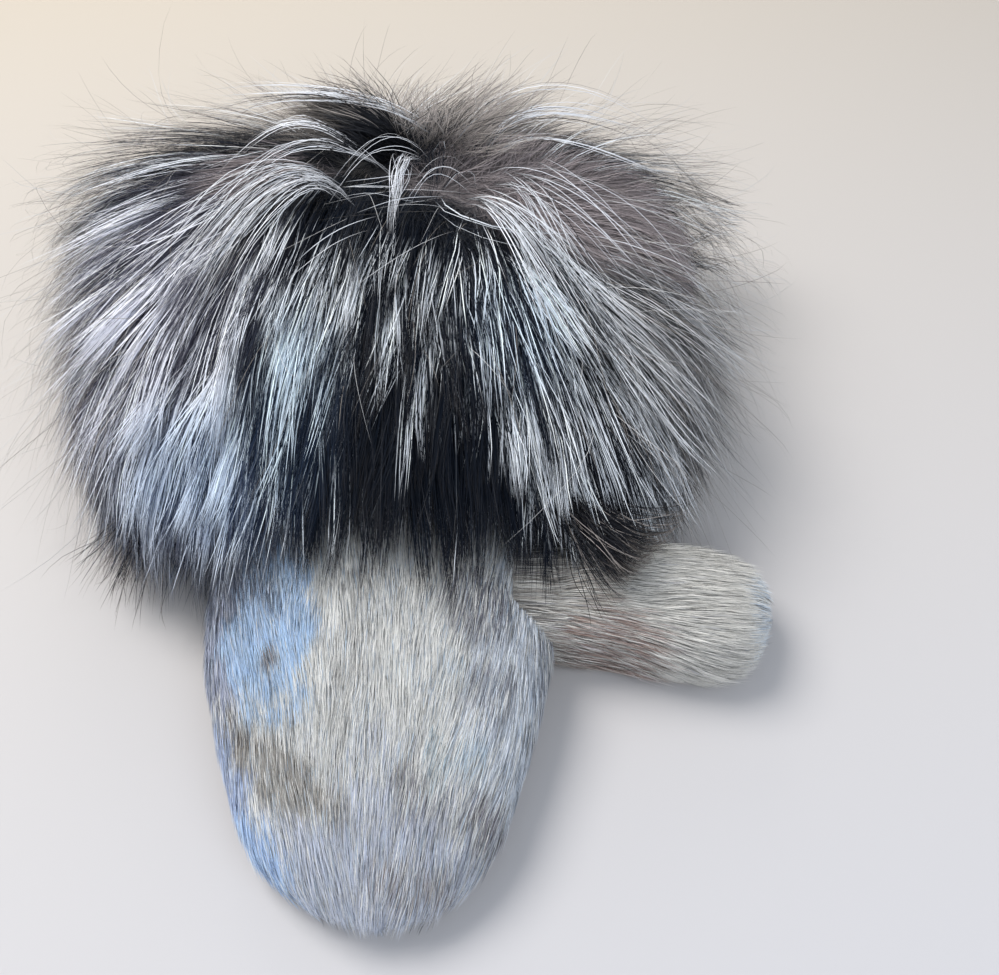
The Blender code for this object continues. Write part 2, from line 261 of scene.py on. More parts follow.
# Hairs
def hairMesh(name, path, outward, width, roll, tint, share):
    # Each hair is a narrow ribbon that tapers to a point: its two edges lie half a width to each side of
    # its path, along tangent x outward, turned by roll about the path.
    count, rings = path.shape[:2]
    tangent = unit(np.gradient(path, axis=1))
    side = unit(np.cross(tangent, outward[:, None, :] if outward.ndim == 2 else outward))
    lift = np.cross(tangent, side)
    turned = side * np.cos(roll)[:, None, None] + lift * np.sin(roll)[:, None, None]
    t = np.linspace(0, 1, rings)
    half = 0.5 * width[:, None] * (0.65 + 0.7 * t - 1.15 * t**3)[None, :]
    left = path - turned * half[..., None]
    right = path + turned * half[..., None]
    for edge in (left, right, path):
        edge[..., 2] = np.maximum(edge[..., 2], floorClear)
    perHair = 2 * (rings - 1) + 1
    points = np.empty((count, perHair, 3))
    points[:, 0:-1:2] = left[:, :-1]
    points[:, 1:-1:2] = right[:, :-1]
    points[:, -1] = path[:, -1]
    colour = np.empty((count, perHair, 3))
    colour[:, 0:-1:2] = tint[:, :-1]
    colour[:, 1:-1:2] = tint[:, :-1]
    colour[:, -1] = tint[:, -1]
    along = np.concatenate((np.repeat(t[:-1], 2), [1.0]))

    first = 2 * np.arange(rings - 2)[:, None]
    quads = first + np.array((0, 1, 3, 2))
    corners = np.concatenate((quads.ravel(), 2 * (rings - 2) + np.array((0, 1, 2))))
    starts = np.arange(rings - 1) * 4
    loops = (np.arange(count)[:, None] * perHair + corners).ravel()
    loopStarts = (np.arange(count)[:, None] * len(corners) + starts).ravel()

    mesh = bpy.data.meshes.new(name)
    mesh.vertices.add(count * perHair)
    mesh.vertices.foreach_set("co", points.astype(np.float32).ravel())
    mesh.loops.add(len(loops))
    mesh.loops.foreach_set("vertex_index", loops.astype(np.int32))
    mesh.polygons.add(len(loopStarts))
    mesh.polygons.foreach_set("loop_start", loopStarts.astype(np.int32))
    mesh.update(calc_edges=True)
    piece = bpy.data.objects.new(name, mesh)
    bpy.context.scene.collection.objects.link(piece)
    setTint(piece, colour.reshape(-1, 3))
    setValue(piece, "along", np.tile(along, count))
    setValue(piece, "chance", np.repeat(share, perHair))

    columns = math.ceil(math.sqrt(count))
    across = np.concatenate((np.tile((0.1, 0.9), rings - 1), [0.5]))
    corner = np.stack((across[corners], 0.04 + 0.92 * along[corners]), -1)
    cell = np.stack((np.arange(count) % columns, np.arange(count) // columns), -1)
    bakeMap(piece, (cell[:, None, :] + corner[None, :, :]) / columns)
    return piece


def scatter(grid, normals, weight, count, rng, wrap):
    # Roots spread over a grid: a cell is drawn by its area times its weight, then a place inside it
    nextColumn = np.roll(np.arange(grid.shape[1]), -1) if wrap else np.arange(1, grid.shape[1])
    columns = np.arange(len(nextColumn))
    a, b = grid[:-1][:, columns], grid[:-1][:, nextColumn]
    c, d = grid[1:][:, columns], grid[1:][:, nextColumn]
    area = np.linalg.norm(np.cross(b - a, c - a), axis=-1) * weight[:-1][:, columns]
    bounds = np.cumsum(area.ravel())
    cell = np.searchsorted(bounds, rng.random(count) * bounds[-1])
    i, j = cell // len(columns), cell % len(columns)
    u, v = rng.random((2, count))
    corners = ((i, columns[j], (1 - u) * (1 - v)), (i, nextColumn[j], (1 - u) * v),
               (i + 1, columns[j], u * (1 - v)), (i + 1, nextColumn[j], u * v))
    point = sum(grid[p, q] * w[:, None] for p, q, w in corners)
    normal = unit(sum(normals[p, q] * w[:, None] for p, q, w in corners))
    return point, normal, i + u, j + v


def lay(way, normal):
    # The part of a direction that lies in the surface
    return unit(way - np.sum(way * normal, -1, keepdims=True) * normal)


# Materials
def hairMaterial(name, settings):
    made = bpy.data.materials.new(name)
    made.use_nodes = True
    nodes, links = made.node_tree.nodes, made.node_tree.links
    shader = nodes["Principled BSDF"]
    shader.inputs["Specular IOR Level"].default_value = settings["specular"]
    shader.inputs["Sheen Weight"].default_value = settings["sheen"]
    shader.inputs["Sheen Roughness"].default_value = 0.4
    tint = nodes.new("ShaderNodeAttribute")
    tint.attribute_name = "tint"
    place = nodes.new("ShaderNodeTexCoord")
    grain = nodes.new("ShaderNodeTexNoise")
    grain.inputs["Scale"].default_value = settings["grain"]
    grain.inputs["Detail"].default_value = 3
    links.new(place.outputs["Object"], grain.inputs["Vector"])
    shade = nodes.new("ShaderNodeMapRange")
    shade.inputs["To Min"].default_value = 1 - settings["vary"]
    shade.inputs["To Max"].default_value = 1 + settings["vary"]
    links.new(grain.outputs["Fac"], shade.inputs["Value"])
    mixed = nodes.new("ShaderNodeVectorMath")
    mixed.operation = "SCALE"
    links.new(tint.outputs["Color"], mixed.inputs[0])
    links.new(shade.outputs["Result"], mixed.inputs["Scale"])
    links.new(mixed.outputs["Vector"], shader.inputs["Base Color"])
    chance = nodes.new("ShaderNodeAttribute")
    chance.attribute_name = "chance"
    rough = nodes.new("ShaderNodeMapRange")
    rough.inputs["To Min"].default_value = settings["roughness"][0]
    rough.inputs["To Max"].default_value = settings["roughness"][1]
    links.new(chance.outputs["Fac"], rough.inputs["Value"])
    links.new(rough.outputs["Result"], shader.inputs["Roughness"])
    return made


def skinMaterial(name, settings):
    # Fur seen down to its skin: the painted tint, broken up by fine streaks that run with the hair
    made = bpy.data.materials.new(name)
    made.use_nodes = True
    nodes, links = made.node_tree.nodes, made.node_tree.links
    shader = nodes["Principled BSDF"]
    shader.inputs["Sheen Weight"].default_value = 0.3
    tint = nodes.new("ShaderNodeAttribute")
    tint.attribute_name = "tint"
    place = nodes.new("ShaderNodeTexCoord")
    stretch = nodes.new("ShaderNodeMapping")
    stretch.inputs["Scale"].default_value = settings["stretch"]
    links.new(place.outputs["Object"], stretch.inputs["Vector"])
    streak = nodes.new("ShaderNodeTexNoise")
    streak.inputs["Scale"].default_value = settings["grain"]
    streak.inputs["Detail"].default_value = 5
    links.new(stretch.outputs["Vector"], streak.inputs["Vector"])
    shade = nodes.new("ShaderNodeMapRange")
    shade.inputs["From Min"].default_value = 0.3
    shade.inputs["From Max"].default_value = 0.7
    shade.inputs["To Min"].default_value = settings["dark"]
    shade.inputs["To Max"].default_value = 1.1
    links.new(streak.outputs["Fac"], shade.inputs["Value"])
    mixed = nodes.new("ShaderNodeVectorMath")
    mixed.operation = "SCALE"
    links.new(tint.outputs["Color"], mixed.inputs[0])
    links.new(shade.outputs["Result"], mixed.inputs["Scale"])
    links.new(mixed.outputs["Vector"], shader.inputs["Base Color"])
    rough = nodes.new("ShaderNodeMapRange")
    rough.inputs["To Min"].default_value = 0.75
    rough.inputs["To Max"].default_value = 0.95
    links.new(streak.outputs["Fac"], rough.inputs["Value"])
    links.new(rough.outputs["Result"], shader.inputs["Roughness"])
    bump = nodes.new("ShaderNodeBump")
    bump.inputs["Strength"].default_value = 0.6
    bump.inputs["Distance"].default_value = settings["bump"]
    links.new(streak.outputs["Fac"], bump.inputs["Height"])
    links.new(bump.outputs["Normal"], shader.inputs["Normal"])
    return made


def finishPiece(piece, material, slot, *nodes):
    piece.data.materials.append(material)
    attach(piece, "root")
    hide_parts(*nodes)
    faces = sum(len(p.vertices) - 2 for p in piece.data.polygons) if len(piece.data.polygons) < 50000 else 0
    print("made", piece.name, len(piece.data.vertices), "points", faces or "", flush=True)


def paint(point, base, patches, chance):
    # Colours laid over each other: a patch is an oval with a ragged edge, and each hair falls in or out
    # of it by its own chance.
    colour = np.tile(np.array(base, float), (len(point), 1))
    ragged = (softNoise(point, 0.009, 5) - 0.5) * 0.55 + (softNoise(point, 0.0035, 6) - 0.5) * 0.3
    for x, y, reachX, reachY, turn, soft, amount, patchColour in patches:
        c, s = math.cos(math.radians(turn)), math.sin(math.radians(turn))
        dx, dy = point[:, 0] - x, point[:, 1] - y
        away = np.hypot((dx * c + dy * s) / reachX, (dy * c - dx * s) / reachY) + ragged
        inside = 1 - smoothStep(1 - soft, 1 + soft, away)
        taken = smoothStep(-0.15, 0.15, inside * amount - chance)[:, None]
        colour = colour * (1 - taken) + np.array(patchColour) * taken
    return colour


# Bodies under the fur
skinWall = 0.0015
skinInset = 0.0022
panelGrid = {"rows": 52, "columns": 46}


def halfPanel(name, start, end):
    # A thick sheet: each ring runs out along the skin and back inside it, and the last closes the tip
    place = np.linspace(0, 1, panelGrid["rows"]) ** 0.8
    place = handForm["start"] + (handRows[-1][0] - handForm["start"]) * place
    angle = np.linspace(start, end, panelGrid["columns"])
    outer = formPoint(handForm, place[:, None], angle[None, :], -skinInset, True)
    inner = formPoint(handForm, place[:, None], angle[None, ::-1], -skinInset - skinWall, True)
    rings = np.concatenate((outer, inner), axis=1)
    rows, columns = rings.shape[:2]
    faces = tubeFaces(rows, columns)
    i = np.arange(panelGrid["columns"] - 1)
    cap = np.stack((i, columns - 1 - i, columns - 2 - i, i + 1), -1)
    return rewriteMesh(name, rings.reshape(-1, 3).tolist(), np.vstack((faces, cap)).tolist(), 1e-6)


handPatches = [
    # x, y, reach in x, reach in y, turn, soft, amount, colour
    (0.000, -0.104, 0.070, 0.046, 0, 0.5, 0.75, (0.550, 0.590, 0.700)),
    # Painted light: this pale patch on the right of the hand is lightened to make up for the shade of that side, away
    # from the key light
    (0.052, -0.030, 0.020, 0.070, 0, 0.6, 0.75, (0.710, 0.765, 0.850)),
    (0.038, 0.004, 0.013, 0.014, 0, 0.5, 0.60, (0.180, 0.180, 0.215)),
    (0.042, -0.030, 0.010, 0.012, 0, 0.6, 0.50, (0.250, 0.255, 0.300)),
    (0.018, -0.063, 0.011, 0.010, 0, 0.6, 0.50, (0.250, 0.245, 0.280)),
    (0.041, -0.074, 0.011, 0.010, 0, 0.6, 0.55, (0.220, 0.200, 0.230)),
    (0.016, -0.092, 0.016, 0.008, 0, 0.6, 0.45, (0.290, 0.250, 0.240)),
    (-0.006, -0.010, 0.008, 0.030, 0, 0.6, 0.35, (0.380, 0.370, 0.360)),
    (0.062, -0.020, 0.006, 0.040, 0, 0.6, 0.42, (0.170, 0.175, 0.215)),
    (-0.058, -0.004, 0.030, 0.036, 0, 0.35, 0.92, (0.400, 0.435, 0.560)),
    # This light blue strip on the left of the hand is the hair's silver with a painted blue reflection on it
    (-0.039, -0.004, 0.0170, 0.038, 4, 0.16, 0.88, (0.465, 0.635, 0.865)),
    (-0.052, 0.012, 0.020, 0.014, 0, 0.5, 0.55, (0.090, 0.105, 0.150)),
    (-0.038, -0.018, 0.0030, 0.0045, 0, 0.5, 0.80, (0.200, 0.150, 0.125)),
    (-0.034, -0.056, 0.032, 0.0095, -32, 0.45, 0.80, (0.340, 0.320, 0.295)),
    (-0.048, -0.044, 0.009, 0.005, -32, 0.5, 0.70, (0.130, 0.110, 0.098)),
    # These two blue patches low on the left of the hand are the hair's silver with the same painted blue reflection
    (-0.050, -0.072, 0.012, 0.040, 22, 0.40, 0.85, (0.420, 0.510, 0.720)),
    (-0.040, -0.088, 0.013, 0.020, 22, 0.40, 0.90, (0.460, 0.620, 0.900)),
    (0.029, -0.022, 0.006, 0.005, 0, 0.5, 0.50, (0.500, 0.580, 0.670)),
    (0.037, -0.052, 0.006, 0.006, 0, 0.5, 0.55, (0.470, 0.575, 0.680)),
    (0.024, -0.055, 0.004, 0.010, 0, 0.5, 0.40, (0.480, 0.590, 0.670)),
]
handBase = (0.755, 0.755, 0.735)
palmBase = (0.460, 0.460, 0.470)
thumbBase = (0.740, 0.725, 0.685)
thumbPatches = [
    (0.068, 0.004, 0.020, 0.040, 0, 0.6, 0.60, (0.420, 0.385, 0.350)),
    (0.068, 0.036, 0.032, 0.015, 0, 0.5, 0.90, (0.040, 0.036, 0.036)),
    (0.082, -0.008, 0.020, 0.008, 0, 0.6, 0.60, (0.420, 0.300, 0.260)),
    (0.147, 0.006, 0.010, 0.022, 0, 0.6, 0.60, (0.620, 0.690, 0.770)),
]
skinLook = {"stretch": (1.0, 0.16, 1.0), "grain": 900, "dark": 0.25, "bump": 0.0006}
thumbSkinLook = {"stretch": (0.16, 1.0, 1.0), "grain": 900, "dark": 0.25, "bump": 0.0006}
shortLook = {"specular": 0.35, "sheen": 0.12, "roughness": (0.45, 0.68), "grain": 260, "vary": 0.10}


def skinPiece(piece, base, patches, look, slot, node):
    point = vertexPoints(piece)
    chance = softNoise(point, 0.002, 11)
    # The skin is painted at 0.55 of the fur's colour: painted shade deep in the pile
    setTint(piece, paint(point, base, patches, chance) * 0.55)
    finishPiece(piece, skinMaterial(piece.name + "Skin", look), slot, node)


backPanel = halfPanel("backPanel", 0, math.pi)
skinPiece(backPanel, handBase, handPatches, skinLook, "short_fur", "hand_back")
palmPanel = halfPanel("palmPanel", 2 * math.pi, math.pi)
skinPiece(palmPanel, palmBase, [], skinLook, "palm_fur", "hand_palm")


def makeThumbStall():
    # The outer skin from the hand to the tip, then the inner one back, closed round the open end
    place = thumbForm["start"] + thumbForm["length"] * np.linspace(0, 1, 40) ** 0.8
    angle = np.linspace(0, 2 * math.pi, 56, endpoint=False)
    outer = formPoint(thumbForm, place[:, None], angle[None, :], -skinInset, True)
    inner = formPoint(thumbForm, place[::-1, None], angle[None, :], -skinInset - skinWall, True)
    rings = np.concatenate((outer, inner), axis=0)
    rows, columns = rings.shape[:2]
    faces = tubeFaces(rows, columns, True)
    atTip = np.arange((len(place) - 1) * columns, len(place) * columns)
    return rewriteMesh("thumbStall", rings.reshape(-1, 3).tolist(), np.delete(faces, atTip, 0).tolist(), 1e-6)


skinPiece(makeThumbStall(), thumbBase, thumbPatches, thumbSkinLook, "thumb_fur", "thumb")

# The cuff's underfur: out over the cuff, round the rim and back through the hollow
cuffBody = {"rows": 54, "columns": 150, "lumps": 0.0035}
underTaupe = np.array((0.335, 0.292, 0.297))
underDark = np.array((0.030, 0.030, 0.036))


def makeCuffBody():
    angle = np.linspace(0, 2 * math.pi, cuffBody["columns"], endpoint=False)[None, :]
    outer = formPoint(baseForm, np.linspace(0.029, 0.206, cuffBody["rows"])[:, None], angle)
    lump = softNoise(outer * (1, 0.4, 1), 0.012, 21) + 0.5 * softNoise(outer * (1, 0.4, 1), 0.005, 22)
    middle = np.array((0, 0.1, 0.045))
    outer = outer + unit((outer - middle) * (1, 0, 1)) * ((lump - 0.9) * cuffBody["lumps"])[..., None]
    inner = formPoint(hollowForm, np.linspace(0.206, 0.070, 26)[:, None], angle)
    hug = formPoint(handForm, np.linspace(0.060, 0.033, 8)[:, None], angle, 0.0012)
    lip = np.linspace(0, 1, 9)[1:-1, None, None]
    bulge = np.sin(lip * math.pi)
    roll = outer[-1] * (1 - lip) + inner[0] * lip + bulge * np.array((0, 0.012, 0))
    rings = np.concatenate((outer, roll, inner, hug), axis=0)
    rings[..., 2] = np.maximum(rings[..., 2], floorClear)
    rows, columns = rings.shape[:2]
    return rewriteMesh("cuffBody", rings.reshape(-1, 3).tolist(), tubeFaces(rows, columns, True).tolist())


# What share of the cuff's guard hair is silver and how thickly it stands, laid over each other:
# x, y, reach in x, reach in y, turn, soft, silver, hairs
furZones = {
    "start": (0.34, 1.0),
    "leftSweep": (-0.088, 0.100, 0.062, 0.062, 0, 0.4, 0.52, 1.0),
    "leftMiddle": (-0.058, 0.092, 0.026, 0.046, 0, 0.4, 0.43, 1.0),
    "leftLow": (-0.066, 0.040, 0.044, 0.030, 0, 0.4, 0.59, 1.0),
    "leftHem": (-0.084, 0.004, 0.040, 0.022, 0, 0.4, 0.42, 1.0),
    "behind": (0.000, 0.225, 0.160, 0.034, 0, 0.4, 0.28, 0.80),
    "taupeLeft": (-0.048, 0.164, 0.029, 0.018, 6, 0.35, 0.26, 0.18),
    "taupeRight": (0.086, 0.151, 0.062, 0.035, -12, 0.35, 0.60, 0.01),
    "rightSide": (0.114, 0.085, 0.036, 0.050, 0, 0.4, 0.46, 0.9),
    "whorl": (-0.002, 0.127, 0.040, 0.030, 0, 0.35, 0.00, 1.0),
    "parting": (0.012, 0.158, 0.030, 0.011, -26, 0.35, 0.00, 0.6),
    "spine": (-0.016, 0.183, 0.033, 0.017, 0, 0.30, 0.00, 1.0),
    "centreFall": (-0.010, 0.086, 0.046, 0.028, 0, 0.4, 0.46, 1.0),
    "blueFall": (-0.031, 0.048, 0.014, 0.042, 0, 0.4, 0.52, 1.0),
    "blackFall": (0.014, 0.030, 0.034, 0.038, 0, 0.45, 0.07, 1.0),
    "rightFall": (0.074, 0.068, 0.034, 0.066, 32, 0.35, 0.47, 1.0),
    "darkGap": (-0.044, 0.064, 0.006, 0.026, 0, 0.4, 0.15, 1.0),
    "lowerRight": (0.086, 0.000, 0.040, 0.014, 0, 0.4, 0.20, 1.0),
    "hemFringe": (0.014, 0.002, 0.056, 0.018, 0, 0.5, 0.08, 1.0),
}
# The silver's own colour and that of the dark hair beside it:
# x, y, reach in x, reach in y, silver, dark
silverHues = {
    "start": ((0.870, 0.920, 0.985), (0.004, 0.007, 0.014)),
    "lavender": (-0.104, 0.100, 0.062, 0.074, (0.870, 0.885, 0.980), (0.066, 0.066, 0.096)),
    "lowerBlue": (-0.066, 0.030, 0.036, 0.026, (0.700, 0.810, 0.970), (0.045, 0.066, 0.125)),
    "blueWhite": (-0.030, 0.052, 0.020, 0.034, (0.730, 0.865, 0.985), (0.010, 0.020, 0.042)),
    "rightBlue": (0.052, 0.084, 0.020, 0.028, (0.745, 0.860, 0.985), (0.008, 0.014, 0.028)),
    "farGrey": (0.115, 0.105, 0.036, 0.060, (0.660, 0.665, 0.690), (0.085, 0.085, 0.088)),
    "leftHem": (-0.092, 0.000, 0.036, 0.026, (0.600, 0.640, 0.740), (0.110, 0.112, 0.130)),
    "leftRim": (-0.158, 0.110, 0.030, 0.120, (0.660, 0.650, 0.640), (0.220, 0.208, 0.198)),
    "backRim": (0.000, 0.230, 0.190, 0.036, (0.620, 0.600, 0.580), (0.230, 0.208, 0.195)),
}


def furZone(point):
    # Silver and thickness at points of the cuff, with each zone's edge broken up by soft noise
    ragged = (softNoise(point * (1, 0.45, 1), 0.010, 31) - 0.5) * 0.5
    silver = np.full(point.shape[:-1], furZones["start"][0])
    hairs = np.full(point.shape[:-1], furZones["start"][1])
    top = smoothStep(0.012, 0.040, point[..., 2])
    for zone, row in furZones.items():
        if zone == "start":
            continue
        x, y, reachX, reachY, turn, soft, zoneSilver, zoneHairs = row
        c, s = math.cos(math.radians(turn)), math.sin(math.radians(turn))
        dx, dy = point[..., 0] - x, point[..., 1] - y
        away = np.hypot((dx * c + dy * s) / reachX, (dy * c - dx * s) / reachY) + ragged
        inside = (1 - smoothStep(1 - soft, 1 + soft, away)) * top
        silver = silver * (1 - inside) + zoneSilver * inside
        hairs = hairs * (1 - inside) + zoneHairs * inside
    return silver, hairs


def hairColours(point):
    # Colour of the silver hair and of the dark hair at points of the cuff
    lightHair, darkHair = (np.broadcast_to(np.array(c), point.shape).copy() for c in silverHues["start"])
    for name, row in silverHues.items():
        if name == "start":
            continue
        x, y, reachX, reachY, lightHue, darkHue = row
        away = np.hypot((point[..., 0] - x) / reachX, (point[..., 1] - y) / reachY)
        inside = (1 - smoothStep(0.4, 1.4, away))[..., None]
        lightHair += (np.array(lightHue) - lightHair) * inside
        darkHair += (np.array(darkHue) - darkHair) * inside
    return lightHair, darkHair


def taupeShare(point):
    # How bare of guard hair the underfur lies
    silver, hairs = furZone(point)
    return 1 - smoothStep(0.4, 0.95, hairs)


cuff = makeCuffBody()
cuffPoints = vertexPoints(cuff)
bare = taupeShare(cuffPoints)[:, None]
setTint(cuff, underDark * (1 - bare) + underTaupe * 0.8 * bare)
cuffSkinLook = {"stretch": (1.0, 0.5, 1.0), "grain": 500, "dark": 0.6, "bump": 0.001}
finishPiece(cuff, skinMaterial("cuffSkin", cuffSkinLook), "fox_fur", "cuff_fur")

# Short fur
shortFur = {
    "handBackFur": {"count": 65500, "length": (0.0100, 0.0165), "width": 0.00025, "lift": 0.23, "trim": 0.0},
    "handPalmFur": {"count": 9000, "length": (0.0075, 0.0110), "width": 0.00060, "lift": 0.20, "trim": 0.0},
    "thumbFur": {"count": 26000, "length": (0.0115, 0.0195), "width": 0.00028, "lift": 0.32, "trim": 0.55},
}


def makeShortFur(name, form, angles, aim, base, patches, slot, node, seed):
    # Hairs of three points: out of the skin at a slant, then bent down along it towards the tip
    s = shortFur[name]
    rng = np.random.default_rng(seed)
    last = form["table"][0, 0] if form["axis"] == "y" else form["table"][-1, 0]
    place = form["start"] + (last - form["start"]) * np.linspace(0, 1, 160) ** 0.85
    angle = np.linspace(*angles, 200)
    grid = formPoint(form, place[:, None], angle[None, :], -skinInset, True)
    normals = gridNormals(grid, False)
    centre = grid.mean(axis=1, keepdims=True)
    normals *= np.sign(np.sum(normals * (grid - centre), -1, keepdims=True) + 1e-12)
    weight = np.ones(grid.shape[:2])
    root, normal, _, _ = scatter(grid, normals, weight, s["count"], rng, False)
    chance = rng.random(s["count"])
    way = lay(np.array(aim) - root, normal)
    swing = (softNoise(root, 0.018, seed + 1) - 0.5) * 0.34 + (softNoise(root, 0.004, seed + 2) - 0.5) * 0.20
    swing = swing + rng.normal(0, 0.06, s["count"])
    across = np.cross(normal, way)
    way = way * np.cos(swing)[:, None] + across * np.sin(swing)[:, None]
    length = rng.uniform(*s["length"], s["count"]) * (0.8 + 0.4 * softNoise(root, 0.006, seed + 3))
    length = length * (1 - s["trim"] * smoothStep(0.65, 0.97, (place.max() - place.min()) ** -1
                                                  * np.abs(root[:, 1 if form["axis"] == "y" else 0] - form["start"])))
    lift = s["lift"] * rng.uniform(0.6, 1.4, s["count"]) * (0.6 + 0.8 * softNoise(root, 0.005, seed + 4))
    t = np.linspace(0, 1, 3)[None, :, None]
    rise = lift[:, None, None] * (t - 0.55 * t * t)
    path = root[:, None] + length[:, None, None] * (way[:, None] * t + normal[:, None] * rise)
    colour = paint(root + way * 0.004, base, patches, chance)
    streak = softNoise(np.stack((np.sum(root * across, -1) / 0.0011, np.sum(root * way, -1) / 0.012,
                                 root[:, 2] / 0.004), -1), 1.0, seed + 5)
    dark = np.where(rng.random(s["count"]) < 0.10, 0.30, 1.0) * (0.78 + 0.42 * streak)
    # Painted shade: each hair is darker at its root and a little lighter at its tip, for the shade deep in the pile
    shade = np.array((0.62, 0.97, 1.10))[None, :, None]
    tint = np.clip(colour[:, None] * dark[:, None, None] * shade, 0.004, 0.95)
    width = s["width"] * rng.uniform(0.7, 1.25, s["count"])
    roll = rng.uniform(-0.9, 0.9, s["count"])
    piece = hairMesh(name, path, normal, width, roll, tint, chance)
    finishPiece(piece, shortMaterial, slot, node)


shortMaterial = hairMaterial("shortHair", shortLook)
makeShortFur("handBackFur", handForm, (-0.12, math.pi + 0.12), (0.004, -0.170, 0.0), handBase, handPatches,
             "short_fur", "hand_back", 101)
makeShortFur("handPalmFur", handForm, (math.pi, 2 * math.pi), (0.004, -0.170, 0.0), palmBase, [],
             "palm_fur", "hand_palm", 202)
makeShortFur("thumbFur", thumbForm, (0, 2 * math.pi), (0.230, 0.006, 0.0), thumbBase, thumbPatches,
             "thumb_fur", "thumb", 303)

# The cuff's shell: points evenly spaced round each section, from the skin (0) to the longest hair (1)
shellGrid = {"rows": 130, "columns": 260, "front": -0.038, "back": 0.236}


def evenGrid(form):
    places = np.linspace(shellGrid["front"], shellGrid["back"], shellGrid["rows"])
    fine = np.linspace(-math.pi / 2, 1.5 * math.pi, 1441)
    rings = formPoint(form, places[:, None], fine[None, :])
    step = np.linalg.norm(np.diff(rings, axis=1), axis=-1)
    run = np.concatenate((np.zeros((len(places), 1)), np.cumsum(step, axis=1)), axis=1)
    run /= run[:, -1:]
    even = np.arange(shellGrid["columns"]) / shellGrid["columns"]
    grid = np.empty((len(places), len(even), 3))
    for i in range(len(places)):
        for k in range(3):
            grid[i, :, k] = np.interp(even, run[i], rings[i, :, k])
    return grid


skinShell = evenGrid(baseForm)
hairShell = evenGrid(reachForm)
shellStep = (shellGrid["back"] - shellGrid["front"]) / (shellGrid["rows"] - 1)


def readGrid(grid, row, column):
    # Value between the four nearest points of a grid that is closed round its columns
    row = np.clip(row, 0, grid.shape[0] - 1.001)
    i, j = np.floor(row).astype(int), np.floor(column).astype(int)
    u, v = (row - i)[:, None], (column - j)[:, None]
    j, k = j % grid.shape[1], (j + 1) % grid.shape[1]
    return (grid[i, j] * (1 - u) * (1 - v) + grid[i, k] * (1 - u) * v
            + grid[i + 1, j] * u * (1 - v) + grid[i + 1, k] * u * v)


def fromParting(point):
    # The way from the nearest place of the parting, and how far off that is
    line = partingEnd - partingStart
    t = np.clip((point - partingStart) @ line / (line @ line), 0, 1)
    apart = point - (partingStart + t[..., None] * line)
    return apart, np.linalg.norm(apart, axis=-1)


def furWay(point, normal):
    # Away from the parting along the surface, pulled down and forward, most of all down the middle
    apart, off = fromParting(point)
    away = lay(apart, normal)
    unrest = (softNoise(point, 0.012, 41) - 0.5) * (0.32 + 2.2 * np.exp(-off / 0.020))
    away = away * np.cos(unrest)[:, None] + np.cross(normal, away) * np.sin(unrest)[:, None]
    forward = -apart[:, 1]
    middle = np.exp(-((point[:, 0] + 0.017) / 0.048) ** 2)
    pull = 0.25 + 0.55 * smoothStep(0.0, 0.05, forward) + 2.4 * middle * smoothStep(0.008, 0.045, forward)
    pull = pull * (1 - 0.75 * smoothStep(0.050, 0.095, point[:, 0]))
    pull = pull * (1 - 0.45 * smoothStep(0.060, 0.110, -point[:, 0]))
    pull = np.where(forward < 0, 0.25 * (1 - smoothStep(0.0, 0.03, -forward)), pull)
    sag = lay(np.broadcast_to(np.array((0, -1.0, -0.55)), point.shape), normal)
    below = 1 - smoothStep(0.012, 0.040, point[:, 2])
    below = (below * (1 - smoothStep(0.150, 0.185, point[:, 1])))[:, None]
    under = lay(np.broadcast_to(np.array((0, -1.0, 0)), point.shape), normal)
    return unit((away + sag * pull[:, None]) * (1 - below) + under * below)


def growOnCuff(row, column, length, low, high, rings, swing, bend=0.6):
    # Walks each hair over the shell. At every step the way is turned into rows and columns of the grid,
    # while the hair rises from low to high as its length's power of bend.
    pathRow, pathColumn = row.copy(), column.copy()
    points, normals = [], []
    for k in range(rings):
        t = k / (rings - 1)
        height = (low + (high - low) * t**bend)[:, None]
        here = readGrid(skinShell, pathRow, pathColumn) * (1 - height) \
            + readGrid(hairShell, pathRow, pathColumn) * height
        nextRow = readGrid(skinShell, pathRow + 0.5, pathColumn) * (1 - height) \
            + readGrid(hairShell, pathRow + 0.5, pathColumn) * height
        lastRow = readGrid(skinShell, pathRow - 0.5, pathColumn) * (1 - height) \
            + readGrid(hairShell, pathRow - 0.5, pathColumn) * height
        nextColumn = readGrid(skinShell, pathRow, pathColumn + 0.5) * (1 - height) \
            + readGrid(hairShell, pathRow, pathColumn + 0.5) * height
        lastColumn = readGrid(skinShell, pathRow, pathColumn - 0.5) * (1 - height) \
            + readGrid(hairShell, pathRow, pathColumn - 0.5) * height
        byRow, byColumn = nextRow - lastRow, nextColumn - lastColumn
        normal = unit(np.cross(byColumn, byRow))
        middle = np.stack((0 * here[:, 0], here[:, 1], 0 * here[:, 0] + 0.045), -1)
        normal = normal * np.sign(np.sum(normal * (here - middle), -1, keepdims=True))
        points.append(here)
        normals.append(normal)
        way = furWay(here, normal)
        turn = swing * (0.4 + 0.6 * t)
        way = way * np.cos(turn)[:, None] + np.cross(normal, way) * np.sin(turn)[:, None]
        a, b, c = np.sum(byRow * byRow, -1), np.sum(byRow * byColumn, -1), np.sum(byColumn * byColumn, -1)
        d, e = np.sum(byRow * way, -1), np.sum(byColumn * way, -1)
        scale = np.maximum(a * c - b * b, 1e-14)
        step = length / (rings - 1)
        pathRow = np.clip(pathRow + (c * d - b * e) / scale * step, 0.6, shellGrid["rows"] - 1.6)
        pathColumn = pathColumn + (a * e - b * d) / scale * step
    return np.stack(points, 1), np.stack(normals, 1)


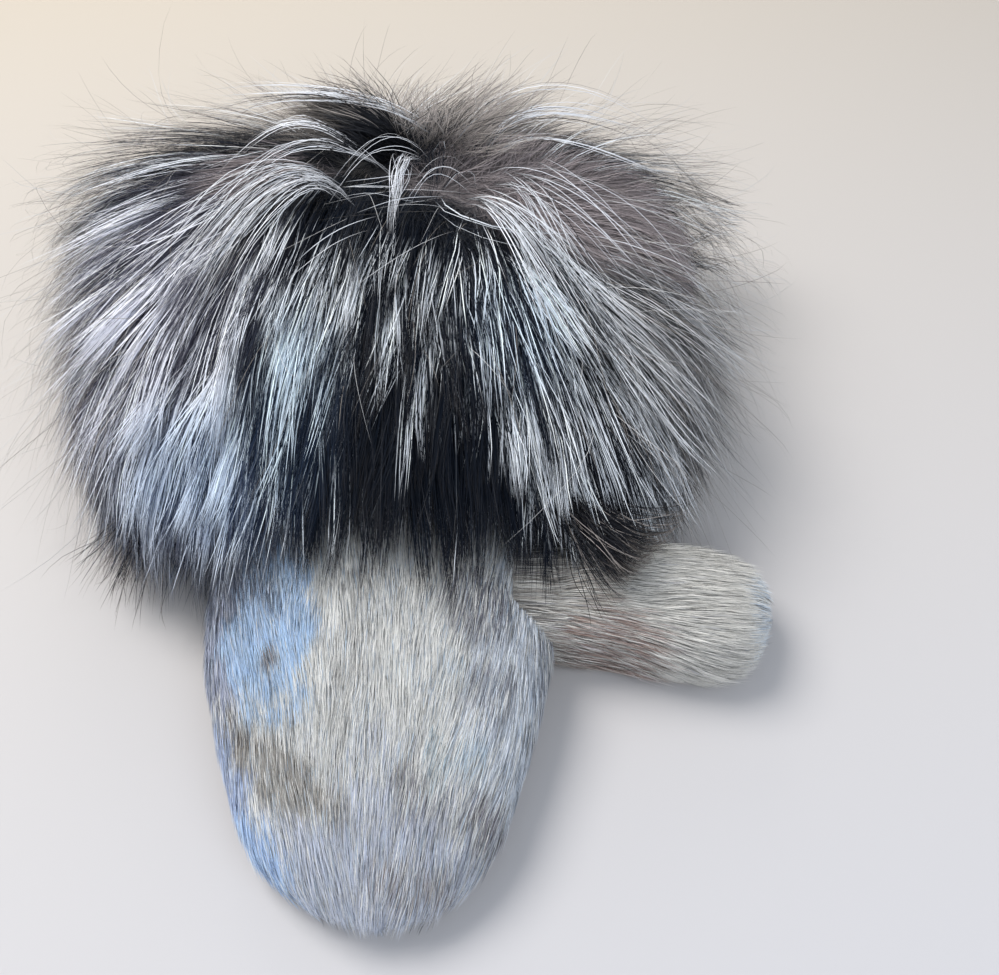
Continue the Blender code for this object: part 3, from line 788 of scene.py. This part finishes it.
cuffRoots = {"front": 0.051, "back": 0.205}
skinNormals = gridNormals(skinShell, True)
shellCentre = skinShell.mean(axis=1, keepdims=True)
skinNormals *= np.sign(np.sum(skinNormals * (skinShell - shellCentre), -1, keepdims=True) + 1e-12)
rootRows = skinShell[:, 0, 1]
rootBand = ((rootRows > cuffRoots["front"]) & (rootRows < cuffRoots["back"])).astype(float)[:, None]
shellHairs = furZone(skinShell)[1]
upperSide = 0.40 + 0.60 * smoothStep(0.010, 0.030, skinShell[..., 2])

# The farthest that hair may reach: each side's soft start and its limit
reachLimits = (
    ((-0.149, -0.158), (0.151, 0.166)),
    ((-0.110, -0.121), (0.236, 0.249)),
    ((None, None), (0.121, 0.1315)),
)


def holdInside(path):
    # Beyond a side's soft start the overshoot is pressed through tanh, so that it ends at the limit
    for axis, sides in enumerate(reachLimits):
        for (start, limit), sign in zip(sides, (-1, 1)):
            if start is None:
                continue
            over = np.maximum((path[..., axis] - start) * sign, 0)
            room = abs(limit - start)
            path[..., axis] += sign * (room * np.tanh(over / room) - over)
    return path


def stiffen(path, share):
    # A stiff hair keeps to its first direction: its path is drawn to a straight line by t times share
    t = np.linspace(0, 1, path.shape[1])
    straight = path[:, :1] + (path[:, 2:3] - path[:, :1]) / t[2] * t[None, :, None]
    return path + (straight - path) * (share[:, None] * t[None, :])[..., None]


guardHair = {
    "tries": 74000,
    "count": 42500,
    "locks": 2400,
    "rings": 7,
    "length": (0.052, 0.078),
    "width": 0.00033,
    "gather": 0.68,
}


def makeGuardHair():
    s = guardHair
    rng = np.random.default_rng(404)
    weight = rootBand * upperSide
    _, _, lockRow, lockColumn = scatter(skinShell, skinNormals, weight, s["locks"], rng, True)
    lockHigh = np.clip(rng.normal(0.56, 0.22, s["locks"]), 0.15, 1.0)
    lockSwing = rng.normal(0, 0.12, s["locks"])
    lockLength = rng.uniform(*s["length"], s["locks"])
    lockPath, _ = growOnCuff(lockRow, lockColumn, lockLength, np.full(s["locks"], 0.05), lockHigh,
                             s["rings"], lockSwing)

    root, _, row, column = scatter(skinShell, skinNormals, weight, s["tries"], rng, True)
    lockRoot = lockPath[:, 0]
    order = np.empty(s["tries"], int)
    for chunk in np.array_split(np.arange(s["tries"]), 60):
        gap = np.sum((root[chunk, None] - lockRoot[None]) ** 2, -1)
        order[chunk] = np.argmin(gap, axis=1)
    high = np.clip(lockHigh[order] + rng.normal(0, 0.12, s["tries"]), 0.08, 1.06)
    length = lockLength[order] * rng.uniform(0.78, 1.08, s["tries"])
    nearFloor = (1 - smoothStep(0.018, 0.062, root[:, 2])) * (1 - smoothStep(0.080, 0.125, root[:, 1]))
    nearHem = 1 - smoothStep(0.060, 0.105, root[:, 1])
    length = length * (1 - 0.66 * nearFloor) * (1 - 0.10 * nearHem)
    swing = lockSwing[order] + rng.normal(0, 0.06, s["tries"])
    path, normal = growOnCuff(row, column, length, np.full(s["tries"], 0.03), high, s["rings"], swing)
    # A hair that would cross a bare place is mostly left out
    thin = furZone(path[:, 1:])[1].min(axis=1) ** 1.5
    kept = np.flatnonzero(rng.random(s["tries"]) < thin)[: s["count"]]
    order, high, path, normal, column = order[kept], high[kept], path[kept], normal[kept], column[kept]
    count = len(kept)
    t = np.linspace(0, 1, s["rings"])
    chance = rng.random(count)
    gather = s["gather"] * rng.uniform(0.5, 1.15, count)[:, None] * t[None, :] ** 1.1
    path = path + (lockPath[order] - path) * gather[..., None]
    x, y, z = np.moveaxis(path[:, 0], -1, 0)
    atSide, atBack = smoothStep(0.035, 0.090, np.abs(x)), smoothStep(0.160, 0.200, y)
    lowSide = (1 - smoothStep(0.040, 0.075, z)) * smoothStep(0.040, 0.080, np.abs(x))
    own = rng.random(s["locks"])[order]
    stiffness = atSide * np.where(x > 0, 0.30 + 0.40 * own, 0.12 + 0.36 * own)
    stiffness = stiffness + 0.2 * atBack + 0.25 * lowSide
    path = stiffen(path, np.minimum(stiffness, 0.85))
    wave = rng.normal(0, 0.0010, (count, 1)) * np.sin(t * rng.uniform(2, 6, (count, 1)))
    path = path + np.cross(normal, unit(np.gradient(path, axis=1))) * wave[..., None]
    loose = np.where(rng.random(count) < 0.16, rng.uniform(0.002, 0.012, count), 0)
    path = holdInside(path + normal * (loose[:, None] * t**2.2)[..., None])

    # A hair turns silver where the zone that it lies in asks for more than the hair and its lock hold back.
    # Each lock and each hair looks up its zone a little further up or down its own length.
    lockChance = rng.random(s["locks"])
    shift = rng.normal(0, 0.010, s["locks"])[order] + rng.normal(0, 0.004, count)
    lookUp = path + unit(np.gradient(path, axis=1)) * shift[:, None, None]
    need = 0.42 * chance + 0.58 * lockChance[order]
    # Hairs that stand low in the pile are less often silver: painted shade deep in the pile
    asked = furZone(lookUp)[0] * (0.30 + 0.70 * smoothStep(0.15, 0.50, high))[:, None]
    lit = smoothStep(-0.03, 0.03, asked - need[:, None]) * smoothStep(0.03, 0.20, t)[None, :]
    darkTip = (rng.random(count) < 0.6)[:, None] * smoothStep(0.80, 0.97, t)[None, :]
    lightHair, darkHair = hairColours(path)
    colour = darkHair + (lightHair - darkHair) * lit[..., None]
    colour = colour + (darkHair * 0.5 + np.array((0.030, 0.025, 0.021)) - colour) * darkTip[..., None]
    colour = np.clip(colour * rng.uniform(0.78, 1.10, (count, 1, 1)), 0.003, 0.97)
    width = s["width"] * rng.uniform(0.75, 1.2, count) * (0.85 + 0.65 * lit.mean(axis=1))
    roll = rng.uniform(-0.5, 0.5, count)
    material = hairMaterial("guardHair", {"specular": 0.10, "sheen": 0.0, "roughness": (0.30, 0.50),
                                          "grain": 180, "vary": 0.12})
    around = column % shellGrid["columns"]
    parts = np.digitize(around, np.quantile(around, (1 / 3, 2 / 3)))
    for number, name in enumerate(("guardHairRight", "guardHairTop", "guardHairLeft")):
        mine = parts == number
        piece = hairMesh(name, path[mine], normal[mine], width[mine], roll[mine], colour[mine], chance[mine])
        finishPiece(piece, material, "fox_fur", "cuff_fur")


makeGuardHair()

underfur = {"count": 14000, "rings": 4, "length": (0.022, 0.040), "width": 0.00030}


def makeUnderfur():
    s = underfur
    rng = np.random.default_rng(505)
    bareness = 1 - smoothStep(0.4, 0.95, shellHairs)
    nearParting = 1 - smoothStep(0.006, 0.030, fromParting(skinShell)[1])
    weight = rootBand * (0.35 + 3.2 * bareness + 5.0 * nearParting) * upperSide
    root, _, row, column = scatter(skinShell, skinNormals, weight, s["count"], rng, True)
    chance = rng.random(s["count"])
    high = rng.uniform(0.15, 0.55, s["count"])
    tangled = 1 - smoothStep(0.004, 0.026, fromParting(root)[1])
    swing = rng.normal(0, 1, s["count"]) * (0.30 + 0.8 * tangled)
    path, normal = growOnCuff(row, column, rng.uniform(*s["length"], s["count"]),
                              np.zeros(s["count"]), high, s["rings"], swing, 0.8)
    bareHere = (1 - smoothStep(0.4, 0.95, furZone(path)[1]))[..., None]
    taupe = underTaupe * rng.uniform(0.55, 1.5, (s["count"], 1, 1))
    smoke = hairColours(path)[1] * rng.uniform(0.8, 1.8, (s["count"], 1, 1))
    # Painted shade: each underfur hair is darker at its root and lighter at its tip, for the shade deep in the pile
    t = np.linspace(0.6, 1.15, s["rings"])[None, :, None]
    colour = np.clip((smoke * (1 - bareHere) + taupe * bareHere) * t, 0.003, 0.9)
    width = s["width"] * rng.uniform(0.7, 1.2, s["count"])
    piece = hairMesh("underfurHair", path, normal, width, rng.uniform(-1.2, 1.2, s["count"]), colour, chance)
    finishPiece(piece, hairMaterial("softUnderfur", {"specular": 0.2, "sheen": 0.3, "roughness": (0.6, 0.85),
                                                     "grain": 200, "vary": 0.12}), "fox_fur", "cuff_fur")


makeUnderfur()


# Long single hairs and small bundles that cross the parting and the bare places:
# four points that an arc runs through, how many hairs, how far they spread, width, share of silver, kink
longArcs = {
    "rimArc": ((0.0156, 0.1705, 0.120), (-0.0075, 0.1781, 0.127), (-0.0340, 0.1832, 0.127),
               (-0.0710, 0.1930, 0.117), 26, 0.0034, 0.00034, 0.85, 0.0004),
    "rimArcLow": ((0.010, 0.170, 0.117), (-0.016, 0.186, 0.120), (-0.040, 0.188, 0.119),
                  (-0.070, 0.186, 0.112), 9, 0.0024, 0.00032, 0.75, 0.0004),
    "archUpper": ((-0.002, 0.152, 0.115), (-0.021, 0.165, 0.122), (-0.040, 0.170, 0.121),
                  (-0.062, 0.154, 0.114), 12, 0.0022, 0.00034, 0.9, 0.0006),
    "archLow": ((0.006, 0.146, 0.112), (-0.018, 0.157, 0.121), (-0.043, 0.152, 0.120),
                (-0.064, 0.120, 0.111), 9, 0.0028, 0.00032, 0.9, 0.0006),
    "archMass": ((-0.014, 0.140, 0.110), (-0.031, 0.144, 0.118), (-0.052, 0.130, 0.115),
                 (-0.076, 0.092, 0.104), 54, 0.0080, 0.00036, 0.75, 0.0008),
    "archFall": ((-0.016, 0.136, 0.111), (-0.031, 0.140, 0.118), (-0.050, 0.125, 0.115),
                 (-0.068, 0.087, 0.102), 44, 0.0085, 0.00036, 0.7, 0.0008),
    "rightThin": ((0.022, 0.155, 0.112), (0.040, 0.181, 0.121), (0.068, 0.197, 0.119), (0.102, 0.194, 0.109),
                  5, 0.0030, 0.00030, 0.9, 0.0004),
    "rightArc": ((0.039, 0.160, 0.112), (0.049, 0.173, 0.120), (0.069, 0.184, 0.117), (0.098, 0.186, 0.108),
                 18, 0.0028, 0.00034, 0.9, 0.0005),
    "rightArcLow": ((0.041, 0.152, 0.112), (0.057, 0.163, 0.120), (0.083, 0.163, 0.115),
                    (0.112, 0.163, 0.102), 7, 0.0022, 0.00034, 0.9, 0.0005),
    "bareHairHigh": ((0.044, 0.152, 0.112), (0.064, 0.141, 0.118), (0.088, 0.126, 0.109),
                     (0.110, 0.106, 0.092), 12, 0.0160, 0.00030, 0.95, 0.0006),
    "bareHairLow": ((0.045, 0.145, 0.112), (0.058, 0.132, 0.118), (0.072, 0.111, 0.110),
                    (0.086, 0.086, 0.097), 20, 0.0120, 0.00032, 0.95, 0.0006),
    "crossHigh": ((-0.030, 0.134, 0.115), (-0.011, 0.132, 0.121), (0.004, 0.135, 0.121), (0.016, 0.141, 0.116),
                  5, 0.0055, 0.00019, 0.7, 0.0007),
    "crossMiddle": ((-0.026, 0.126, 0.115), (0.000, 0.129, 0.121), (0.019, 0.132, 0.121),
                    (0.033, 0.138, 0.114), 6, 0.0055, 0.00019, 0.7, 0.0007),
    "crossLow": ((-0.022, 0.120, 0.115), (0.001, 0.121, 0.120), (0.019, 0.125, 0.120), (0.031, 0.134, 0.114),
                 5, 0.0050, 0.00019, 0.7, 0.0007),
    "slantHair": ((-0.014, 0.086, 0.109), (0.002, 0.096, 0.115), (0.016, 0.106, 0.117), (0.030, 0.118, 0.113),
                  1, 0.0005, 0.00030, 1.0, 0.0003),
    "slantLow": ((-0.036, 0.098, 0.108), (-0.024, 0.108, 0.114), (-0.012, 0.116, 0.117), (0.002, 0.124, 0.116),
                 2, 0.0030, 0.00028, 1.0, 0.0004),
    "looseLoop": ((-0.024, 0.124, 0.114), (-0.008, 0.149, 0.123), (0.006, 0.157, 0.124), (0.020, 0.151, 0.117),
                  5, 0.0050, 0.00019, 0.9, 0.0006),
    "looseLoopRight": ((0.008, 0.126, 0.115), (0.018, 0.138, 0.123), (0.028, 0.140, 0.123),
                       (0.040, 0.132, 0.116), 5, 0.0050, 0.00019, 0.8, 0.0006),
    "leadLock": ((0.036, 0.137, 0.112), (0.047, 0.123, 0.118), (0.060, 0.106, 0.112), (0.076, 0.078, 0.099),
                 50, 0.0075, 0.00036, 0.85, 0.0005),
    "tuft": ((0.005, 0.115, 0.116), (0.006, 0.129, 0.121), (0.008, 0.142, 0.124), (0.012, 0.150, 0.121),
             30, 0.0024, 0.00022, 1.0, 0.0010),
}


# Bunches of dark hair in the same form: the dark ridge behind the parting, the brown tips on the rim,
# the fringe over the root of the thumb and the ragged tips at the front corners
darkArcs = {
    "ridge": ((0.0080, 0.1735, 0.1080), (-0.0010, 0.1695, 0.1190), (-0.0160, 0.1740, 0.1230),
              (-0.0360, 0.1830, 0.1200), 400, 0.0062, 0.00036, 0.0, 0.0010),
    "ridgeLow": ((0.0019, 0.1655, 0.1080), (-0.0077, 0.1621, 0.1180), (-0.0197, 0.1687, 0.1200),
                 (-0.0350, 0.1789, 0.1170), 300, 0.0070, 0.00036, 0.0, 0.0010),
    "rimBrown": ((0.0048, 0.1754, 0.1100), (-0.0024, 0.1755, 0.1210), (-0.0120, 0.1800, 0.1270),
                 (-0.0250, 0.1935, 0.1270), 110, 0.0085, 0.00025, 0.5, 0.0012),
    "rimTips": ((0.0150, 0.1704, 0.1080), (0.0168, 0.1700, 0.1190), (0.0184, 0.1758, 0.1240),
                (0.0196, 0.1886, 0.1240), 170, 0.0130, 0.00023, 0.85, 0.0012),
    "rimTipsRight": ((0.0251, 0.1704, 0.1080), (0.0365, 0.1713, 0.1180), (0.0484, 0.1773, 0.1210),
                     (0.0614, 0.1890, 0.1180), 170, 0.0140, 0.00023, 0.90, 0.0012),
    "thumbFringe": ((0.0660, 0.0400, 0.0600), (0.0790, 0.0250, 0.0560), (0.0910, 0.0150, 0.0530),
                    (0.1010, 0.0140, 0.0500), 400, 0.0110, 0.00030, 0.06, 0.0010),
    "leftCorner": ((-0.0800, 0.0560, 0.0520), (-0.0920, 0.0420, 0.0370), (-0.1015, 0.0300, 0.0240),
                   (-0.1080, 0.0205, 0.0130), 190, 0.0100, 0.00028, 0.35, 0.0012),
}


def makeArcs(name, arcs, light, dark, tip, seed):
    # A cubic through the four points. Each hair has its own ends and its own place across the bundle at
    # each of them, so that hairs cross and fan out, and is kinked by a sine of its own length and phase.
    rng = np.random.default_rng(seed)
    rings = 10
    paths, widths, colours = [], [], []
    for first, second, third, fourth, count, spread, width, silver, kink in arcs.values():
        start = rng.uniform(-0.05, 0.34, (count, 1))
        end = rng.uniform(0.70, 1.12, (count, 1))
        t = (start + (end - start) * np.linspace(0, 1, rings))[..., None]
        u = 3 * t
        path = (-(u - 1) * (u - 2) * (u - 3) / 6 * np.array(first) + u * (u - 2) * (u - 3) / 2 * np.array(second)
                - u * (u - 1) * (u - 3) / 2 * np.array(third) + u * (u - 1) * (u - 2) / 6 * np.array(fourth))
        along = unit(np.array(fourth) - np.array(first))
        fan = rng.normal(0, spread, (2, count, 1, 3)) * (1, 1, 0.35)
        fan = fan - np.sum(fan * along, -1, keepdims=True) * along
        bend = np.sin(rng.uniform(4, 11, (count, 1, 1)) * t + rng.uniform(0, 6, (count, 1, 1)))
        path = path + fan[0] * 0.35 * (1 - t) + fan[1] * (0.10 + t) + bend * rng.normal(0, kink, (count, 1, 3))
        paths.append(path)
        widths.append(width * rng.uniform(0.75, 1.15, count))
        lit = (rng.random(count) < silver)[:, None]
        colours.append(np.where(lit, light, dark) * rng.uniform(0.70, 1.05, (count, 1)))
    path, width, hue = holdInside(np.concatenate(paths)), np.concatenate(widths), np.concatenate(colours)
    count = len(path)
    t = np.linspace(0, 1, rings)
    colour = hue[:, None, :] * (0.15 + 0.85 * smoothStep(0.0, 0.22, t))[None, :, None]
    atTip = smoothStep(0.70, 1.0, t)[None, :, None]
    colour = colour * (1 - atTip) + np.array(tip) * atTip
    outward = np.broadcast_to(unit(np.array((0.0, -0.2, 1.0))), (count, 3))
    piece = hairMesh(name, path, outward, width, rng.uniform(-0.7, 0.7, count), colour, rng.random(count))
    finishPiece(piece, hairMaterial(name + "Hair", {"specular": 0.18, "sheen": 0.0, "roughness": (0.28, 0.45),
                                                    "grain": 180, "vary": 0.10}), "fox_fur", "cuff_fur")


makeArcs("longArcs", longArcs, (0.86, 0.885, 0.94), (0.02, 0.02, 0.024), (0.30, 0.29, 0.29), 606)
makeArcs("darkArcs", darkArcs, (0.36, 0.325, 0.305), (0.009, 0.010, 0.014), (0.17, 0.148, 0.132), 616)

# Fine hair that softens the edges of the cuff: its hem over the hand and the rim of its opening
hemFringe = {"count": 3400, "rings": 4, "length": (0.018, 0.052), "width": 0.00027, "root": 0.056}
rimFringe = {"count": 3000, "rings": 4, "length": (0.012, 0.026), "width": 0.00030, "root": 0.204}


def fringePiece(name, path, outward, settings, silver, rng):
    count, rings = path.shape[:2]
    lightHair, darkHair = hairColours(path)
    lit = (rng.random((count, 1)) < silver)[..., None]
    atTip = smoothStep(0.45, 1.0, np.linspace(0, 1, rings))[None, :, None] * 0.6
    colour = np.where(lit, lightHair * 0.7, darkHair) * rng.uniform(0.8, 1.3, (count, 1, 1))
    colour = colour * (1 - atTip) + np.array((0.170, 0.155, 0.148)) * atTip
    width = settings["width"] * rng.uniform(0.7, 1.2, count)
    piece = hairMesh(name, holdInside(path), outward, width, rng.uniform(-0.9, 0.9, count), colour,
                     rng.random(count))
    finishPiece(piece, fringeMaterial, "fox_fur", "cuff_fur")


def makeFringes():
    # The hem's hairs run down the hand and sink towards it. The rim's hairs leave the rolled edge,
    # outwards at its outer side and backwards at its inner one, and bend down.
    s = hemFringe
    rng = np.random.default_rng(808)
    t = np.linspace(0, 1, s["rings"])[None, :]
    angle = rng.uniform(-0.15, math.pi + 0.15, (s["count"], 1)) + rng.normal(0, 0.04, (s["count"], 1)) * t
    place = s["root"] + rng.normal(0, 0.003, (s["count"], 1)) - rng.uniform(*s["length"], (s["count"], 1)) * t
    swell = rng.uniform(0.004, 0.018, (s["count"], 1)) * (1 - t) + rng.uniform(0.001, 0.006, (s["count"], 1)) * t
    path = formPoint(handForm, place, angle, swell, True)
    outward = unit(path[:, 0] * (1, 0, 1) - np.array((0, 0, 0.020)))
    silver = 0.10 + 0.35 * smoothStep(0.035, 0.055, -path[:, :1, 0])
    fringePiece("hemFringe", path, outward, s, silver, rng)

    s = rimFringe
    angle = rng.uniform(0, 2 * math.pi, s["count"])
    lip = rng.uniform(0, 0.6, (s["count"], 1))
    outer = formPoint(baseForm, np.full(s["count"], s["root"]), angle)
    inner = formPoint(hollowForm, np.full(s["count"], s["root"]), angle)
    root = outer * (1 - lip) + inner * lip + np.sin(lip * math.pi) * np.array((0, 0.010, 0))
    radial = unit((outer - inner) * (1, 0, 1))
    way = unit(radial * (1 - lip) + np.array((0, 1, 0)) * (0.25 + lip) + rng.normal(0, 0.22, (s["count"], 3)))
    length = rng.uniform(*s["length"], (s["count"], 1, 1))
    t = np.linspace(0, 1, s["rings"])[None, :, None]
    path = root[:, None] + length * (way[:, None] * t + np.array((0, 0, -0.35)) * t**2)
    fringePiece("rimFringe", path, radial, s, np.full((s["count"], 1), 0.15), rng)


fringeMaterial = hairMaterial("fringeHair", {"specular": 0.16, "sheen": 0.1, "roughness": (0.40, 0.60),
                                             "grain": 180, "vary": 0.12})
makeFringes()

flyaways = {"count": 2000, "rings": 7, "length": (0.018, 0.055), "width": 0.00017}


def makeFlyaways():
    # Stray hairs that leave the fur at a slant and bend back down under their own weight
    s = flyaways
    rng = np.random.default_rng(707)
    weight = rootBand * smoothStep(0.015, 0.050, hairShell[..., 2])
    edge = 0.06 + smoothStep(0.070, 0.115, np.abs(hairShell[..., 0])) + smoothStep(0.170, 0.205, hairShell[..., 1])
    root, _, row, column = scatter(skinShell, skinNormals, weight * edge, s["count"], rng, True)
    normal = unit(readGrid(skinNormals, row, column))
    root = readGrid(skinShell, row, column) * 0.25 + readGrid(hairShell, row, column) * 0.75
    way = unit(furWay(root, normal) + normal * rng.uniform(0.15, 1.1, (s["count"], 1))
               + rng.normal(0, 0.30, (s["count"], 3)))
    length = rng.uniform(*s["length"], s["count"])[:, None, None]
    t = np.linspace(0, 1, s["rings"])[None, :, None]
    bow = np.cross(way, rng.normal(0, 1, (s["count"], 3)))[:, None] * rng.normal(0, 0.22, (s["count"], 1, 1))
    path = root[:, None] + length * (way[:, None] * t + bow * t**2 + np.array((0, 0, -0.22)) * t**2)
    path = holdInside(path)
    brown, pale = np.array((0.26, 0.235, 0.215)), np.array((0.66, 0.66, 0.67))
    hue = np.where(rng.random((s["count"], 1)) < 0.6, brown, pale)
    colour = hue[:, None, :] * (1.0 - 0.35 * t)
    piece = hairMesh("flyaways", path, normal, s["width"] * rng.uniform(0.7, 1.2, s["count"]),
                     rng.uniform(-0.7, 0.7, s["count"]), colour, rng.random(s["count"]))
    finishPiece(piece, hairMaterial("flyawayHair", {"specular": 0.25, "sheen": 0.0, "roughness": (0.35, 0.55),
                                                    "grain": 180, "vary": 0.10}), "fox_fur", "cuff_fur")


makeFlyaways()


# Floor, lights and camera
def makeFloor():
    # Pale and plain, with painted light: a little cooler and lighter in front and warmer and darker at the back
    bpy.ops.mesh.primitive_plane_add(size=6, location=(0, 0, 0))
    floor = bpy.context.object
    floor.name = "floor"
    made = bpy.data.materials.new("paleFloor")
    made.use_nodes = True
    shader = made.node_tree.nodes["Principled BSDF"]
    nodes, links = made.node_tree.nodes, made.node_tree.links
    place = nodes.new("ShaderNodeTexCoord")
    turned = nodes.new("ShaderNodeVectorMath")
    turned.operation = "DOT_PRODUCT"
    turned.inputs[1].default_value = (-0.25, 0.97, 0.0)
    links.new(place.outputs["Object"], turned.inputs[0])
    tone = nodes.new("ShaderNodeMapRange")
    tone.inputs["From Min"].default_value = -0.20
    tone.inputs["From Max"].default_value = 0.50
    links.new(turned.outputs["Value"], tone.inputs["Value"])
    mixed = nodes.new("ShaderNodeMix")
    mixed.data_type = "RGBA"
    mixed.inputs[6].default_value = (0.600, 0.595, 0.620, 1)
    mixed.inputs[7].default_value = (0.520, 0.468, 0.400, 1)
    links.new(tone.outputs["Result"], mixed.inputs[0])
    links.new(mixed.outputs[2], shader.inputs["Base Color"])
    shader.inputs["Roughness"].default_value = 0.8
    shader.inputs["Specular IOR Level"].default_value = 0.1
    floor.data.materials.append(made)


def aimAt(thing, target):
    way = np.array(target, float) - np.array(thing.location)
    flat = math.hypot(way[0], way[1])
    thing.rotation_euler = (math.atan2(flat, -way[2]), 0, math.atan2(-way[0], way[1]))


def addLight(name, place, size, power, colour):
    light = bpy.data.lights.new(name, "AREA")
    light.shape = "DISK"
    light.size = size
    light.energy = power
    light.color = colour
    made = bpy.data.objects.new(name, light)
    made.location = place
    aimAt(made, (0.0, 0.06, 0.05))
    bpy.context.scene.collection.objects.link(made)


studio = {
    "key": ((-0.70, 0.45, 1.30), 0.90, 21.0, (1.0, 0.970, 0.93)),
    "skyFill": ((0.60, -0.90, 1.30), 1.60, 10.5, (0.90, 0.95, 1.0)),
    "rim": ((-0.20, 1.20, 0.55), 0.70, 3.4, (1.0, 0.93, 0.82)),
}
makeFloor()
for lightName, (place, size, power, colour) in studio.items():
    addLight(lightName, place, size, power, colour)
world = bpy.data.worlds.new("paleWorld")
world.use_nodes = True
world.node_tree.nodes["Background"].inputs["Color"].default_value = (0.82, 0.89, 1.0, 1)
world.node_tree.nodes["Background"].inputs["Strength"].default_value = 0.47
bpy.context.scene.world = world
bpy.context.scene.view_settings.view_transform = "Standard"

cameraSetup = {"elevation": 55, "target": (0.045, 0.080, 0.0), "distance": 0.5, "focal": 1150 * 36 / 999}
cameraData = bpy.data.cameras.new("camera")
cameraData.lens = cameraSetup["focal"]
cameraData.sensor_width = 36
cameraData.clip_start = 0.01
camera = bpy.data.objects.new("camera", cameraData)
tilt = math.radians(cameraSetup["elevation"])
camera.location = np.array(cameraSetup["target"]) \
    + cameraSetup["distance"] * np.array((0, -math.cos(tilt), math.sin(tilt)))
camera.rotation_euler = (math.pi / 2 - tilt, 0, 0)
bpy.context.scene.collection.objects.link(camera)
bpy.context.scene.camera = camera
